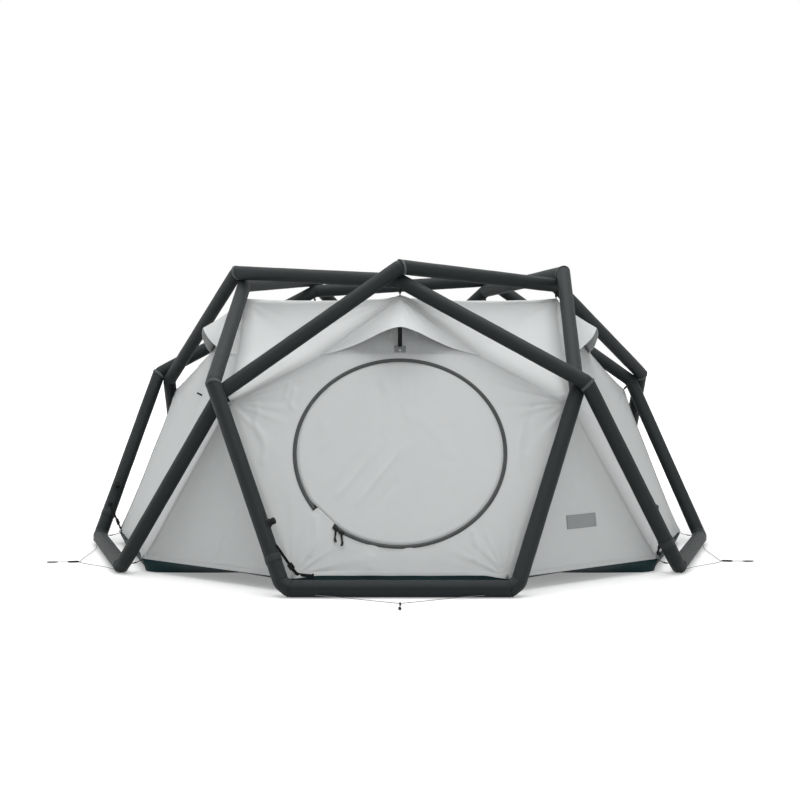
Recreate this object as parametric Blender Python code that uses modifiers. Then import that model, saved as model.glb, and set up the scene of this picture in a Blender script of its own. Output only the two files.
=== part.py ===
"""Inflatable geodesic tent: five woven air tubes with a faceted fly hung inside them.

Metres, +Z up. The origin is on the ground at the middle of the floor, and the door faces -Y.
An azimuth of 0 points at the door and grows towards +X. The frame is half an icosidodecahedron:
ten ground corners, five mid crossings and five top crossings.
"""
import bpy
import bmesh
from math import cos, degrees, pi, radians, sin, sqrt
from mathutils import Matrix, Vector
from mathutils.bvhtree import BVHTree

# Fits between touching pieces
fit_gap = 0.0003
crossing_gap = 0.0003
cut_overrun = 0.020

# Air frame: where the tube axes meet
fold_count = 5
ground_radius = 1.480
mid_radius = 1.287
mid_height = 0.810
top_radius = 0.791
top_height = 1.290

# Air frame: the tubes
tube_radius = 0.032
base_tube_radius = 0.034
tube_sides = 14
crossing_share = 1.078
sleeve_wall = 0.0012
bladder_wall = 0.0010
elbow_setback = 0.026
cuff_height = 0.111
cuff_length = 0.028
cuff_wall = 0.0015

# Inflation valves on the five legs that carry a cuff
valve_height = 0.270
valve_radius = 0.017
valve_skirt_depth = 0.007
valve_grip_radius = 0.0135
valve_grip_depth = 0.020
valve_sides = 20
valve_notch_width = 0.009
valve_notch_depth = 0.008

# Fly: outer face of the cloth
fly_top_radius = 0.775
fly_top_height = 1.190
fly_mid_height = 0.745
fly_hem_radius = 1.382
fly_hem_height = 0.053
fly_thickness = 0.003

# Groundsheet tray
sheet_radius = 1.360
sheet_thickness = 0.002
tray_wall = 0.003

# Round door in the front panel, measured down the slope from the panel's peak.
# It is a little wider than high; the sizes are those of the zip's middle line.
door_drop = 0.712
door_half_width = 0.4325
door_half_height = 0.4165
zip_width = 0.024
zip_proud = 0.0015
uncut_from_deg = 38.7
uncut_to_deg = 52.7
arc_step_deg = 5.0

# Zip sliders and their pulls; the sliders' track is a circle that stays on the tape
slider_track = 0.4260
slider_rest_deg = (37.4, 33.7)
slider_names = ("rear", "lead")
slider_length = 0.022
slider_width = 0.014
slider_depth = 0.006
slider_bevel = 0.002
bail_size = 0.004
bail_depth = 0.0032
pull_length = 0.052
pull_width = 0.006
pull_thickness = 0.0022
pull_clearance = 0.0006

# Vent hoods over the peaks of the three panels that face the front
hood_panels = (0, 1, 4)
hood_names = {0: "front", 1: "right", 4: "left"}
hood_peak_drop = 0.012
hood_half_width = 0.339
hood_side_drop = 0.272
hood_lip_drop = 0.195
hood_lip_rise = 0.112
hood_lip_half_width = 0.013
hood_thickness = 0.002

# Props that hold the hoods' lips up
strut_drop = 0.236
strut_width = 0.020
strut_thickness = 0.004
strut_tip_gap = 0.0035

# Hangers between the crossings and the fly
hanger_radius = 0.0035
hanger_sides = 8

# Corner straps from the cuffed legs to the hem
strap_leg_height = 0.165
strap_width = 0.014
strap_thickness = 0.0022
buckle_width = 0.022
buckle_thickness = 0.0065
buckle_top_down = 0.088
buckle_length = 0.026
strap_hem_reach = 0.068
strap_hem_rise = 0.010

# Guy lines lying on the floor outside the three front base tubes
line_radius = 0.00125
tensioner_radius = 0.0030
peg_loop_radius = 0.0042

fold_angle = 2 * pi / fold_count
corner_angle = fold_angle / 4
base_axis_height = base_tube_radius * cos(pi / tube_sides)
crossing_offset = 2 * tube_radius * crossing_share + crossing_gap


def clear_scene():
    for item in list(bpy.data.objects):
        bpy.data.objects.remove(item, do_unlink=True)


def new_collection(name):
    group = bpy.data.collections.new(name)
    bpy.context.scene.collection.children.link(group)
    return group


def material(name, colour, roughness, metallic=0.0):
    """Principled material, made once and shared by its name."""
    found = bpy.data.materials.get(name)
    if found:
        return found
    made = bpy.data.materials.new(name)
    made.use_nodes = True
    shader = made.node_tree.nodes["Principled BSDF"]
    shader.inputs["Base Color"].default_value = (*colour, 1.0)
    shader.inputs["Roughness"].default_value = roughness
    shader.inputs["Metallic"].default_value = metallic
    made.diffuse_color = (*colour, 1.0)
    return made


clear_scene()
tent = new_collection("inflatable_tent")
cutters = new_collection("cutters")

tube_cloth = material("tube_cloth", (0.035, 0.042, 0.042), 0.78)
bladder_film = material("bladder_film", (0.55, 0.58, 0.60), 0.35)
fly_cloth = material("fly_cloth", (0.56, 0.58, 0.58), 0.80)
hood_cloth = material("hood_cloth", (0.60, 0.62, 0.62), 0.80)
tray_cloth = material("tray_cloth", (0.012, 0.060, 0.075), 0.45)
zip_tape = material("zip_tape", (0.085, 0.090, 0.090), 0.70)
black_plastic = material("black_plastic", (0.012, 0.012, 0.013), 0.45)
webbing = material("webbing", (0.018, 0.020, 0.020), 0.85)
pale_line = material("pale_line", (0.62, 0.63, 0.63), 0.80)


def add_object(name, mesh, look, location=(0, 0, 0), group=None):
    item = bpy.data.objects.new(name, mesh)
    item.location = location
    item.data.materials.append(look)
    (group or tent).objects.link(item)
    return item


def mesh_from(name, builder):
    """Close the bmesh with its faces pointing out and turn it into a mesh."""
    bmesh.ops.recalc_face_normals(builder, faces=builder.faces)
    mesh = bpy.data.meshes.new(name)
    builder.to_mesh(mesh)
    builder.free()
    return mesh


def combine(item, tool, operation):
    """Boolean with a tool that is hidden from renders."""
    tool.hide_render = True
    tool.display_type = "WIRE"
    change = item.modifiers.new(operation.lower(), "BOOLEAN")
    change.operation = operation
    change.solver = "EXACT"
    change.object = tool


# Points of the frame and the fly

def polar(azimuth, radius, height):
    return Vector((radius * sin(azimuth), -radius * cos(azimuth), height))


def turned(point, fold):
    """The same point, fold places round the tent."""
    return Matrix.Rotation(fold * fold_angle, 3, "Z") @ Vector(point)


def crossing(azimuth, radius, height, over):
    """Tube axis at a crossing: the over tube sits outside the under tube."""
    outward = polar(azimuth, radius, height).normalized()
    side = 0.5 if over else -0.5
    return polar(azimuth, radius, height) + outward * crossing_offset * side


def ground_corner(fold, side):
    """Side -1 is the corner before azimuth fold * 72 degrees, +1 the one after it."""
    return polar(fold * fold_angle + side * corner_angle, ground_radius, base_axis_height)


def mid_crossing(fold, over):
    """Crossing half a fold before azimuth fold * 72 degrees."""
    return crossing((fold - 0.5) * fold_angle, mid_radius, mid_height, over)


def top_crossing(fold, over):
    return crossing(fold * fold_angle, top_radius, top_height, over)


def cuffed_leg(fold):
    """Foot and unit direction of the leg that carries a cuff, a valve and a strap."""
    foot = ground_corner(fold, -1)
    return foot, (mid_crossing(fold, True) - foot).normalized()


def chamber_points(fold):
    """Axis of one air chamber: down to the ground, along a base tube and over the arch."""
    foot, up_leg = cuffed_leg(fold)
    far_foot = ground_corner(fold, 1)
    along = (far_foot - foot).normalized()
    far_leg = (mid_crossing(fold + 1, False) - far_foot).normalized()
    last_foot, last_leg = cuffed_leg(fold + 3)
    return [
        foot + up_leg * (cuff_height + cuff_length),
        foot + up_leg * elbow_setback,
        foot + along * elbow_setback,
        far_foot - along * elbow_setback,
        far_foot + far_leg * elbow_setback,
        mid_crossing(fold + 1, False),
        top_crossing(fold + 1, True),
        top_crossing(fold + 2, False),
        mid_crossing(fold + 3, True),
        last_foot + last_leg * cuff_height,
    ]


base_run = 2


def chamber_radii(inset):
    """Radius at each axis point, smaller by inset for what lies inside the sleeve."""
    wide = base_tube_radius - inset
    slim = tube_radius - inset
    return [slim, slim, wide, wide] + [slim] * 6


# Swept tubes

def run_frames(points):
    """Direction, side and up of each straight run, carried across the mitres by reflection."""
    runs = [(b - a).normalized() for a, b in zip(points, points[1:])]
    frames = [None] * len(runs)
    up = Vector((0, 0, 1))
    frames[base_run] = (runs[base_run].cross(up).normalized(), up)
    for here in range(base_run + 1, len(runs)):
        mitre = (runs[here - 1] + runs[here]).normalized()
        frames[here] = tuple(v - 2 * v.dot(mitre) * mitre for v in frames[here - 1])
    for here in range(base_run - 1, -1, -1):
        mitre = (runs[here] + runs[here + 1]).normalized()
        frames[here] = tuple(v - 2 * v.dot(mitre) * mitre for v in frames[here + 1])
    return runs, frames


def ring(centre, frame, run, radius, mitre=None):
    """One ring of the tube, with a flat facet underneath on the base run."""
    side, up = frame
    points = []
    for corner in range(tube_sides):
        turn = -pi / 2 + (corner + 0.5) * 2 * pi / tube_sides
        offset = radius * (cos(turn) * side + sin(turn) * up)
        if mitre is not None:
            offset = offset - run * (offset.dot(mitre) / run.dot(mitre))
        points.append(centre + offset)
    return points


def chamber_rings(points, radii):
    """Rings at the start and at every bend; the end is left to the caller."""
    runs, frames = run_frames(points)
    rings = [ring(points[0], frames[0], runs[0], radii[0])]
    for here in range(1, len(points) - 1):
        mitre = (runs[here - 1] + runs[here]).normalized()
        rings.append(ring(points[here], frames[here - 1], runs[here - 1], radii[here], mitre))
    return rings


def hollow_tube(name, outer, inner, look):
    """Closed body between an outer and an inner row of rings, open at both ends."""
    builder = bmesh.new()
    loop = outer + inner[::-1]
    rows = [[builder.verts.new(point) for point in points] for points in loop]
    for here, row in enumerate(rows):
        beyond = rows[(here + 1) % len(rows)]
        for corner in range(tube_sides):
            after = (corner + 1) % tube_sides
            builder.faces.new((row[corner], row[after], beyond[after], beyond[corner]))
    return add_object(name, mesh_from(name, builder), look)


def make_sleeve(fold):
    """Cloth sleeve of one chamber; its upper leg ends in a cuff over the next sleeve."""
    points = chamber_points(fold)
    runs, frames = run_frames(points)
    run, frame, end = runs[-1], frames[-1], points[-1]
    cuff_inner = (tube_radius + fit_gap) / cos(pi / tube_sides)
    cuff_outer = cuff_inner + cuff_wall
    inner_shoulder = end - run * (cuff_length + fit_gap)
    outer_shoulder = inner_shoulder - run * cuff_wall
    outer = chamber_rings(points, chamber_radii(0))
    outer.append(ring(outer_shoulder, frame, run, tube_radius))
    outer.append(ring(outer_shoulder, frame, run, cuff_outer))
    outer.append(ring(end, frame, run, cuff_outer))
    inner = chamber_rings(points, chamber_radii(sleeve_wall))
    inner.append(ring(inner_shoulder, frame, run, tube_radius - sleeve_wall))
    inner.append(ring(inner_shoulder, frame, run, cuff_inner))
    inner.append(ring(end, frame, run, cuff_inner))
    return hollow_tube(f"frame_sleeve_{fold + 1}", outer, inner, tube_cloth)


def make_bladder(fold):
    """Air bladder that fills one sleeve and stops at the cuff of the next chamber."""
    points = chamber_points(fold)
    runs, frames = run_frames(points)
    outer_inset = sleeve_wall + fit_gap
    inner_inset = outer_inset + bladder_wall
    points[0] = points[0] + runs[0] * fit_gap
    end = points[-1] - runs[-1] * (cuff_length + 2 * fit_gap)
    rows = []
    for inset in (outer_inset, inner_inset):
        rings = chamber_rings(points, chamber_radii(inset))
        rings.append(ring(end, frames[-1], runs[-1], tube_radius - inset))
        rows.append(rings)
    return hollow_tube(f"air_bladder_{fold + 1}", rows[0], rows[1], bladder_film)


# Valves

def leg_support(fold, direction):
    """How far a cuffed leg reaches from its axis along a direction square to it."""
    runs, frames = run_frames(chamber_points(fold + 2))
    corners = ring(Vector(), frames[-1], runs[-1], tube_radius)
    return max(corner.dot(direction) for corner in corners)


def valve_axis(fold):
    """Unit vector square to the leg, towards the middle of the panel beside it."""
    azimuth = fold * fold_angle - corner_angle
    around = Vector((cos(azimuth), sin(azimuth), 0))
    up_leg = cuffed_leg(fold)[1]
    return (around - up_leg * around.dot(up_leg)).normalized()


def round_bar(builder, radius, start, end, sides):
    """Closed cylinder along local Z between two heights."""
    made = bmesh.ops.create_cone(builder, cap_ends=True, segments=sides, radius1=radius,
                                 radius2=radius, depth=end - start)
    bmesh.ops.translate(builder, verts=made["verts"], vec=(0, 0, (start + end) / 2))


def box(builder, size, centre):
    made = bmesh.ops.create_cube(builder, size=1)
    bmesh.ops.scale(builder, verts=made["verts"], vec=size)
    bmesh.ops.translate(builder, verts=made["verts"], vec=centre)


def make_valve(fold):
    """Valve cap: a skirt seated on the sleeve and a grip with two finger notches."""
    name = f"valve_cap_{fold + 1}"
    axis = valve_axis(fold)
    foot, up_leg = cuffed_leg(fold)
    seat = leg_support(fold, axis) + fit_gap
    profile = bmesh.new()
    outline = [
        (0, valve_skirt_depth + valve_grip_depth),
        (valve_grip_radius, valve_skirt_depth + valve_grip_depth),
        (valve_grip_radius, valve_skirt_depth),
        (valve_radius, valve_skirt_depth),
        (valve_radius, 0),
        (0, 0),
    ]
    dots = [profile.verts.new((radius, 0, height)) for radius, height in outline]
    for a, b in zip(dots, dots[1:]):
        profile.edges.new((a, b))
    mesh = bpy.data.meshes.new(name)
    profile.to_mesh(mesh)
    profile.free()
    cap = add_object(name, mesh, black_plastic)
    spin = cap.modifiers.new("turn", "SCREW")
    spin.steps = valve_sides
    spin.render_steps = valve_sides
    spin.use_merge_vertices = True
    spin.merge_threshold = 0.00005
    spin.use_normal_calculate = True
    notch = bmesh.new()
    top = valve_skirt_depth + valve_grip_depth
    size = (valve_notch_width, 2 * valve_grip_radius + cut_overrun, 2 * valve_notch_depth)
    for side in (-1, 1):
        box(notch, size, (side * valve_grip_radius, 0, top))
    cutter = add_object(f"{name}_notches", mesh_from("notches", notch), black_plastic,
                        group=cutters)
    place = Matrix.Translation(foot + up_leg * valve_height + axis * seat)
    place = place @ axis.to_track_quat("Z", "Y").to_matrix().to_4x4()
    cap.matrix_world = place
    cutter.matrix_world = place
    combine(cap, cutter, "DIFFERENCE")
    return cap


# Fly panels

def fly_top(fold):
    return polar(fold * fold_angle, fly_top_radius, fly_top_height)


def fly_hem(fold, side):
    return polar(fold * fold_angle + side * corner_angle, fly_hem_radius, fly_hem_height)


def flat_mid_radius():
    """Radius that keeps the mid corners in the plane of each five-sided panel."""
    hem_reach = fly_hem_radius * cos(corner_angle)
    slope = (hem_reach - fly_top_radius) / (fly_top_height - fly_hem_height)
    reach = fly_top_radius + slope * (fly_top_height - fly_mid_height)
    return reach / cos(fold_angle / 2)


fly_mid_radius = flat_mid_radius()


def fly_mid(fold):
    """Corner half a fold after azimuth fold * 72 degrees."""
    return polar((fold + 0.5) * fold_angle, fly_mid_radius, fly_mid_height)


def panel_axes():
    """Across, down the slope and outward unit vectors of the front panel."""
    across = Vector((1, 0, 0))
    down = (fly_hem(0, 1) + fly_hem(0, -1)) / 2 - fly_top(0)
    down.normalize()
    return across, down, down.cross(across).normalized()


across, down_slope, outward = panel_axes()
fly_core = Vector((0, 0, fly_hem_height))
core_distance = (fly_top(0) - fly_core).dot(outward)
fly_shrink = 1 - fly_thickness / core_distance


def on_panel(side, drop, rise, fold=0):
    """World point from a place on a five-sided panel: across, down the slope, outward."""
    return turned(fly_top(0) + across * side + down_slope * drop + outward * rise, fold)


def inset(points, amount):
    """Polygon with every edge moved inwards by the amount."""
    moved = []
    for here, point in enumerate(points):
        back = (points[here - 1] - point).normalized()
        ahead = (points[(here + 1) % len(points)] - point).normalized()
        moved.append(point + (back + ahead) * amount / sin(back.angle(ahead)))
    return moved


def shell(name, points, faces, look):
    """Cloth between an outer surface and its copy shrunk towards the core of the fly."""
    builder = bmesh.new()
    outer = [builder.verts.new(point) for point in points]
    inner = [builder.verts.new(fly_core + (point - fly_core) * fly_shrink) for point in points]
    uses = {}
    for face in faces:
        builder.faces.new([outer[i] for i in face])
        builder.faces.new([inner[i] for i in reversed(face)])
        for a, b in zip(face, face[1:] + face[:1]):
            uses.setdefault(frozenset((a, b)), []).append((a, b))
    for sides in uses.values():
        if len(sides) == 1:
            a, b = sides[0]
            builder.faces.new((outer[b], outer[a], inner[a], inner[b]))
    return add_object(name, mesh_from(name, builder), look)


side_names = {0: "front", 1: "right", 2: "back_right", 3: "back_left", 4: "left"}


def make_roof():
    """Flat roof pentagon with the five upper triangles sewn to it."""
    points = [fly_top(fold) for fold in range(fold_count)]
    points += [fly_mid(fold) for fold in range(fold_count)]
    faces = [list(range(fold_count))]
    for fold in range(fold_count):
        faces.append([(fold + 1) % fold_count, fold, fold_count + fold])
    return shell("fly_roof", points, faces, fly_cloth)


def make_side_panel(fold):
    corners = [fly_top(fold), fly_mid(fold - 1), fly_hem(fold, -1), fly_hem(fold, 1),
               fly_mid(fold)]
    corners = inset(corners, fit_gap)
    return shell(f"fly_panel_{side_names[fold]}", corners, [list(range(5))], fly_cloth)


def make_corner_panel(fold):
    """Lower triangle between two five-sided panels."""
    corners = [fly_mid(fold), fly_hem(fold, 1), fly_hem(fold + 1, -1)]
    corners = inset(corners, fit_gap)
    return shell(f"fly_corner_{fold + 1}", corners, [list(range(3))], fly_cloth)


def make_tray():
    """Groundsheet: a flat floor with low walls that flare out to the hem."""
    builder = bmesh.new()
    top = fly_hem_height - fit_gap
    share = (top - sheet_thickness) / top
    flare = fly_hem_radius - sheet_radius
    levels = [
        (sheet_radius, 0),
        (fly_hem_radius, top),
        (fly_hem_radius - tray_wall, top),
        (fly_hem_radius - flare * share - tray_wall, sheet_thickness),
    ]
    rows = []
    for radius, height in levels:
        corners = [polar((2 * n + 1) * corner_angle, radius, height) for n in range(10)]
        rows.append([builder.verts.new(point) for point in corners])
    for lower, upper in zip(rows, rows[1:]):
        for n in range(10):
            after = (n + 1) % 10
            builder.faces.new((lower[n], lower[after], upper[after], upper[n]))
    builder.faces.new(rows[0])
    builder.faces.new(rows[-1])
    return add_object("groundsheet", mesh_from("groundsheet", builder), tray_cloth)


# Round door, drawn in the plane of the front panel

def door_point(grow, angle_deg, rise):
    """Point on the zip's middle line grown outwards; the angle grows from the foot to -X."""
    turn = radians(angle_deg)
    side = (door_half_width + grow) * sin(turn)
    drop = (door_half_height + grow) * cos(turn)
    return on_panel(-side, door_drop + drop, rise)


def arc_angles(start, end):
    count = max(2, round(abs(end - start) / arc_step_deg))
    return [start + (end - start) * n / count for n in range(count + 1)]


def prism(name, outline, low, high, look, group=None):
    """Plate over a closed outline of (grow, angle) points, between two rises."""
    builder = bmesh.new()
    floor = [builder.verts.new(door_point(grow, angle, low)) for grow, angle in outline]
    roof = [builder.verts.new(door_point(grow, angle, high)) for grow, angle in outline]
    builder.faces.new(floor)
    builder.faces.new(list(reversed(roof)))
    for n in range(len(outline)):
        after = (n + 1) % len(outline)
        builder.faces.new((floor[n], floor[after], roof[after], roof[n]))
    return add_object(name, mesh_from(name, builder), look, group=group)


zip_from = uncut_to_deg
zip_to = uncut_from_deg + 360
end_margin = degrees(fit_gap / door_half_height)


def leaf_angles():
    """The leaf and the doorway end just past the zip's ends."""
    return zip_from - end_margin, zip_to + end_margin


def door_hinge():
    """Middle and direction of the straight stretch where the leaf stays joined."""
    start = door_point(-zip_width / 2, uncut_from_deg, zip_proud)
    end = door_point(-zip_width / 2, uncut_to_deg, zip_proud)
    return (start + end) / 2, (start - end).normalized()


def make_door():
    """Door leaf: a round plate, straight where it stays joined to the panel."""
    edge = -zip_width / 2 - fit_gap
    outline = [(edge, angle) for angle in arc_angles(*leaf_angles())]
    leaf = prism("door_leaf", outline, -fly_thickness, 0, fly_cloth)
    pivot = door_hinge()[0]
    leaf.data.transform(Matrix.Translation(-pivot))
    leaf.location = pivot


def make_zip():
    """Zip tape: a ring round the door, open where the door stays joined."""
    outline = [(zip_width / 2, angle) for angle in arc_angles(zip_from, zip_to)]
    outline += [(-zip_width / 2, angle) for angle in arc_angles(zip_to, zip_from)]
    prism("door_zip_tape", outline, -fly_thickness, zip_proud, zip_tape)


def cut_doorway(panel):
    """Doorway: the zip's outer edge, stepping in to a straight edge at the hinge."""
    start, end = leaf_angles()
    outline = [(zip_width / 2 + fit_gap, angle) for angle in arc_angles(start, end)]
    outline += [(-zip_width / 2, end), (-zip_width / 2, start + 360)]
    cutter = prism("doorway", outline, -cut_overrun, cut_overrun, fly_cloth, cutters)
    combine(panel, cutter, "DIFFERENCE")


def panel_basis():
    return Matrix((-across, down_slope, outward)).transposed()


def slider_place(index):
    """Place of a slider: X along the track, Y away from the door's middle, Z outward."""
    turn = radians(slider_rest_deg[index])
    away = -across * sin(turn) + down_slope * cos(turn)
    place = Matrix((away.cross(outward), away, outward)).transposed().to_4x4()
    place.translation = on_panel(0, door_drop, zip_proud + fit_gap) + away * slider_track
    return place


def make_slider(index):
    """Zip slider with a bail for its pull; its origin lies on the door's middle axis."""
    name = f"zip_slider_{slider_names[index]}"
    hub = on_panel(0, door_drop, 0)
    builder = bmesh.new()
    box(builder, (slider_length, slider_width, slider_depth), (0, 0, slider_depth / 2))
    bmesh.ops.bevel(builder, geom=builder.edges[:], offset=slider_bevel, segments=1,
                    affect="EDGES")
    mesh = mesh_from(name, builder)
    mesh.transform(Matrix.Translation(-hub) @ slider_place(index))
    slider = add_object(name, mesh, black_plastic, hub)
    bail = bmesh.new()
    box(bail, (bail_size, bail_size, 2 * bail_depth), (0, 0, slider_depth))
    square = panel_basis().to_4x4()
    square.translation = slider_place(index).translation - hub
    bail_mesh = mesh_from("bail", bail)
    bail_mesh.transform(square)
    tool = add_object(f"{name}_bail", bail_mesh, black_plastic, hub, cutters)
    combine(slider, tool, "UNION")


def pull_pivot(index):
    """Middle of the pull's top end, just below the bail and clear of the slider."""
    seat = slider_place(index).translation
    drop = bail_size / 2 + pull_clearance + pull_thickness / 2
    rise = slider_depth + pull_clearance + pull_thickness / 2
    return seat + down_slope * drop + outward * rise


def make_pull(index):
    """Cord pull hanging down the slope, with its origin on its own hinge."""
    name = f"zip_pull_{slider_names[index]}"
    builder = bmesh.new()
    start = -pull_thickness / 2
    middle = start + pull_length / 2
    box(builder, (pull_width, pull_length, pull_thickness), (0, middle, 0))
    mesh = mesh_from(name, builder)
    mesh.transform(panel_basis().to_4x4())
    return add_object(name, mesh, black_plastic, pull_pivot(index))


# Vent hoods and their props

def make_hood(fold):
    """Cloth hood: sewn along its two upper edges, its lip lifted in the middle."""
    name = f"vent_hood_{hood_names[fold]}"
    spots = [
        (0, hood_peak_drop, fit_gap),
        (-hood_half_width, hood_side_drop, fit_gap),
        (-hood_lip_half_width, hood_lip_drop, hood_lip_rise),
        (hood_lip_half_width, hood_lip_drop, hood_lip_rise),
        (hood_half_width, hood_side_drop, fit_gap),
    ]
    builder = bmesh.new()
    under = [builder.verts.new(on_panel(*spot, fold)) for spot in spots]
    lift = turned(outward, fold) * hood_thickness
    over = [builder.verts.new(vert.co + lift) for vert in under]
    for a, b in ((1, 2), (2, 3), (3, 4)):
        builder.faces.new((under[0], under[a], under[b]))
        builder.faces.new((over[0], over[b], over[a]))
    for a, b in ((0, 1), (1, 2), (2, 3), (3, 4), (4, 0)):
        builder.faces.new((under[a], under[b], over[b], over[a]))
    return add_object(name, mesh_from(name, builder), hood_cloth)


strut_pivot_rise = strut_thickness / sqrt(2) + fit_gap


def strut_axis():
    """Unit direction (down the slope, outward) and length of a prop at rest."""
    drop = hood_lip_drop - strut_thickness / 2 - strut_drop
    rise = hood_lip_rise - strut_pivot_rise
    reach = sqrt(drop * drop + rise * rise)
    return drop / reach, rise / reach, reach - strut_tip_gap


def make_strut(fold):
    """Flat prop under a hood, with its origin on the hinge at its foot."""
    name = f"vent_prop_{hood_names[fold]}"
    drop_share, rise_share, reach = strut_axis()
    start = -strut_thickness / 2
    builder = bmesh.new()
    box(builder, (strut_width, reach - start, strut_thickness),
        (0, (reach + start) / 2, 0))
    mesh = mesh_from(name, builder)
    along = down_slope * drop_share + outward * rise_share
    place = Matrix((across, along, across.cross(along))).transposed().to_4x4()
    mesh.transform(place)
    mesh.transform(Matrix.Rotation(fold * fold_angle, 4, "Z"))
    return add_object(name, mesh, black_plastic, on_panel(0, strut_drop, strut_pivot_rise, fold))


# Hangers

def surface_tree(items):
    """Ray casting tree over the outer faces of the sleeves."""
    points = []
    faces = []
    for item in items:
        start = len(points)
        points += [item.matrix_world @ vert.co for vert in item.data.vertices]
        faces += [[start + i for i in face.vertices] for face in item.data.polygons]
    return BVHTree.FromPolygons(points, faces)


def rod(name, start, end, radius, sides, look):
    builder = bmesh.new()
    round_bar(builder, radius, 0, (end - start).length, sides)
    mesh = mesh_from(name, builder)
    item = add_object(name, mesh, look)
    turn = (end - start).to_track_quat("Z", "Y").to_matrix().to_4x4()
    item.matrix_world = Matrix.Translation(start) @ turn
    return item


def make_hanger(name, fly_corner, tube_axis, tree):
    """Short cord from a corner of the fly up to the tube that passes over it."""
    aim = (tube_axis - fly_corner).normalized()
    start = fly_corner + aim * fit_gap
    side = aim.orthogonal().normalized()
    reach = (tube_axis - start).length
    for corner in range(2 * hanger_sides):
        turn = Matrix.Rotation(corner * pi / hanger_sides, 3, aim)
        for share in (0, 1):
            spot = start + turn @ side * hanger_radius * share
            distance = tree.ray_cast(spot, aim)[3]
            if distance is not None:
                reach = min(reach, distance)
    return rod(name, start, start + aim * (reach - fit_gap), hanger_radius, hanger_sides,
               webbing)


# Corner straps

def flattened(run, face):
    """Unit direction of a run laid in the plane that a face looks out of."""
    return (run - face * run.dot(face)).normalized()


def make_strap(fold):
    """Webbing strap with its buckle: from a cuffed leg down to the hem, then along it."""
    face = turned(outward, fold)
    foot, up_leg = cuffed_leg(fold)
    aside = valve_axis(fold)
    hem = fly_hem(fold, -1)
    hem_along = (fly_hem(fold, 1) - hem).normalized()
    hem_up = face.cross(hem_along)
    bend = hem + hem_along * strap_width + hem_up * strap_hem_rise
    bend += face * (fit_gap + strap_thickness / 2)
    leg_side = foot + up_leg * strap_leg_height
    leg_side += aside * (leg_support(fold, aside) + fit_gap)
    slant = flattened(bend - leg_side, face).cross(face)
    reach = strap_width * abs(slant.dot(aside)) + strap_thickness * abs(face.dot(aside))
    leg_end = leg_side + aside * reach / 2
    flat_run = flattened(bend - leg_end, face)
    landing = bend - flat_run * strap_width
    run = (landing - leg_end).normalized()
    buckle_start = leg_end + run * buckle_top_down
    buckle_end = buckle_start + run * buckle_length
    step = run * strap_thickness
    square = flat_run.cross(face)
    mitre = (flat_run + hem_along).normalized().cross(face)
    mitre_width = strap_width / mitre.dot(square)
    thin = strap_thickness
    stations = [
        (leg_end, square, strap_width, thin),
        (buckle_start - step, square, strap_width, thin),
        (buckle_start, square, buckle_width, buckle_thickness),
        (buckle_end, square, buckle_width, buckle_thickness),
        (buckle_end + step, square, strap_width, thin),
        (landing, square, strap_width, thin),
        (bend, mitre, mitre_width, thin),
        (bend + hem_along * strap_hem_reach, hem_along.cross(face), strap_width, thin),
    ]
    builder = bmesh.new()
    rows = []
    for centre, edge, width, depth in stations:
        low = face * -thin / 2
        high = low + face * depth
        half = edge * width / 2
        corners = (centre - half + low, centre + half + low, centre + half + high,
                   centre - half + high)
        rows.append([builder.verts.new(corner) for corner in corners])
    for row, beyond in zip(rows, rows[1:]):
        for n in range(4):
            after = (n + 1) % 4
            builder.faces.new((row[n], row[after], beyond[after], beyond[n]))
    builder.faces.new(rows[0])
    builder.faces.new(rows[-1])
    name = f"corner_strap_{fold + 1}"
    return add_object(name, mesh_from(name, builder), webbing)


# Guy lines: routes chosen by hand in metres, as they lie in front of the front base tube.
# Each one is then turned to its own base tube.

guy_folds = {"front": 0, "right": 1, "left": 4}
guy_routes = {
    "front": [
        (-0.3300, -1.4353, 0.0120), (-0.2400, -1.4585, 0.0090), (-0.1500, -1.4870, 0.0055),
        (-0.0600, -1.5185, 0.0025), (-0.0120, -1.5385, 0.0016), (0.0000, -1.5410, 0.0016),
        (0.0120, -1.5385, 0.0016), (0.0600, -1.5185, 0.0025), (0.1500, -1.4870, 0.0055),
        (0.2400, -1.4585, 0.0090), (0.3300, -1.4353, 0.0120),
    ],
    "left": [
        (-0.3300, -1.4353, 0.0120), (-0.2450, -1.4480, 0.0090), (-0.1500, -1.4780, 0.0055),
        (-0.0200, -1.5230, 0.0025), (0.0850, -1.5520, 0.0016), (0.1000, -1.5545, 0.0016),
        (0.1130, -1.5510, 0.0016), (0.1650, -1.5290, 0.0025), (0.2350, -1.4970, 0.0055),
        (0.3100, -1.4660, 0.0090), (0.4000, -1.4353, 0.0120),
    ],
    "right": [
        (-0.4000, -1.4353, 0.0120), (-0.3050, -1.4640, 0.0090), (-0.2200, -1.4990, 0.0055),
        (-0.1450, -1.5320, 0.0025), (-0.0900, -1.5525, 0.0016), (-0.0760, -1.5550, 0.0016),
        (-0.0620, -1.5520, 0.0016), (0.0300, -1.5210, 0.0025), (0.1500, -1.4790, 0.0055),
        (0.2450, -1.4490, 0.0090), (0.3300, -1.4353, 0.0120),
    ],
}
tail_routes = {
    "front": [
        (0.0000, -1.5427, 0.0045), (0.0010, -1.5940, 0.0045), (-0.0010, -1.6320, 0.0045),
        (0.0000, -1.6740, 0.0045),
    ],
    "left": [
        (0.0997, -1.5567, 0.0045), (0.0920, -1.6060, 0.0045), (0.0830, -1.6480, 0.0045),
        (0.0714, -1.6960, 0.0045),
    ],
    "right": [
        (-0.0757, -1.5572, 0.0045), (-0.0670, -1.6060, 0.0045), (-0.0560, -1.6480, 0.0045),
        (-0.0420, -1.6960, 0.0045),
    ],
}
guy_steps = 3
tail_steps = 5


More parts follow.
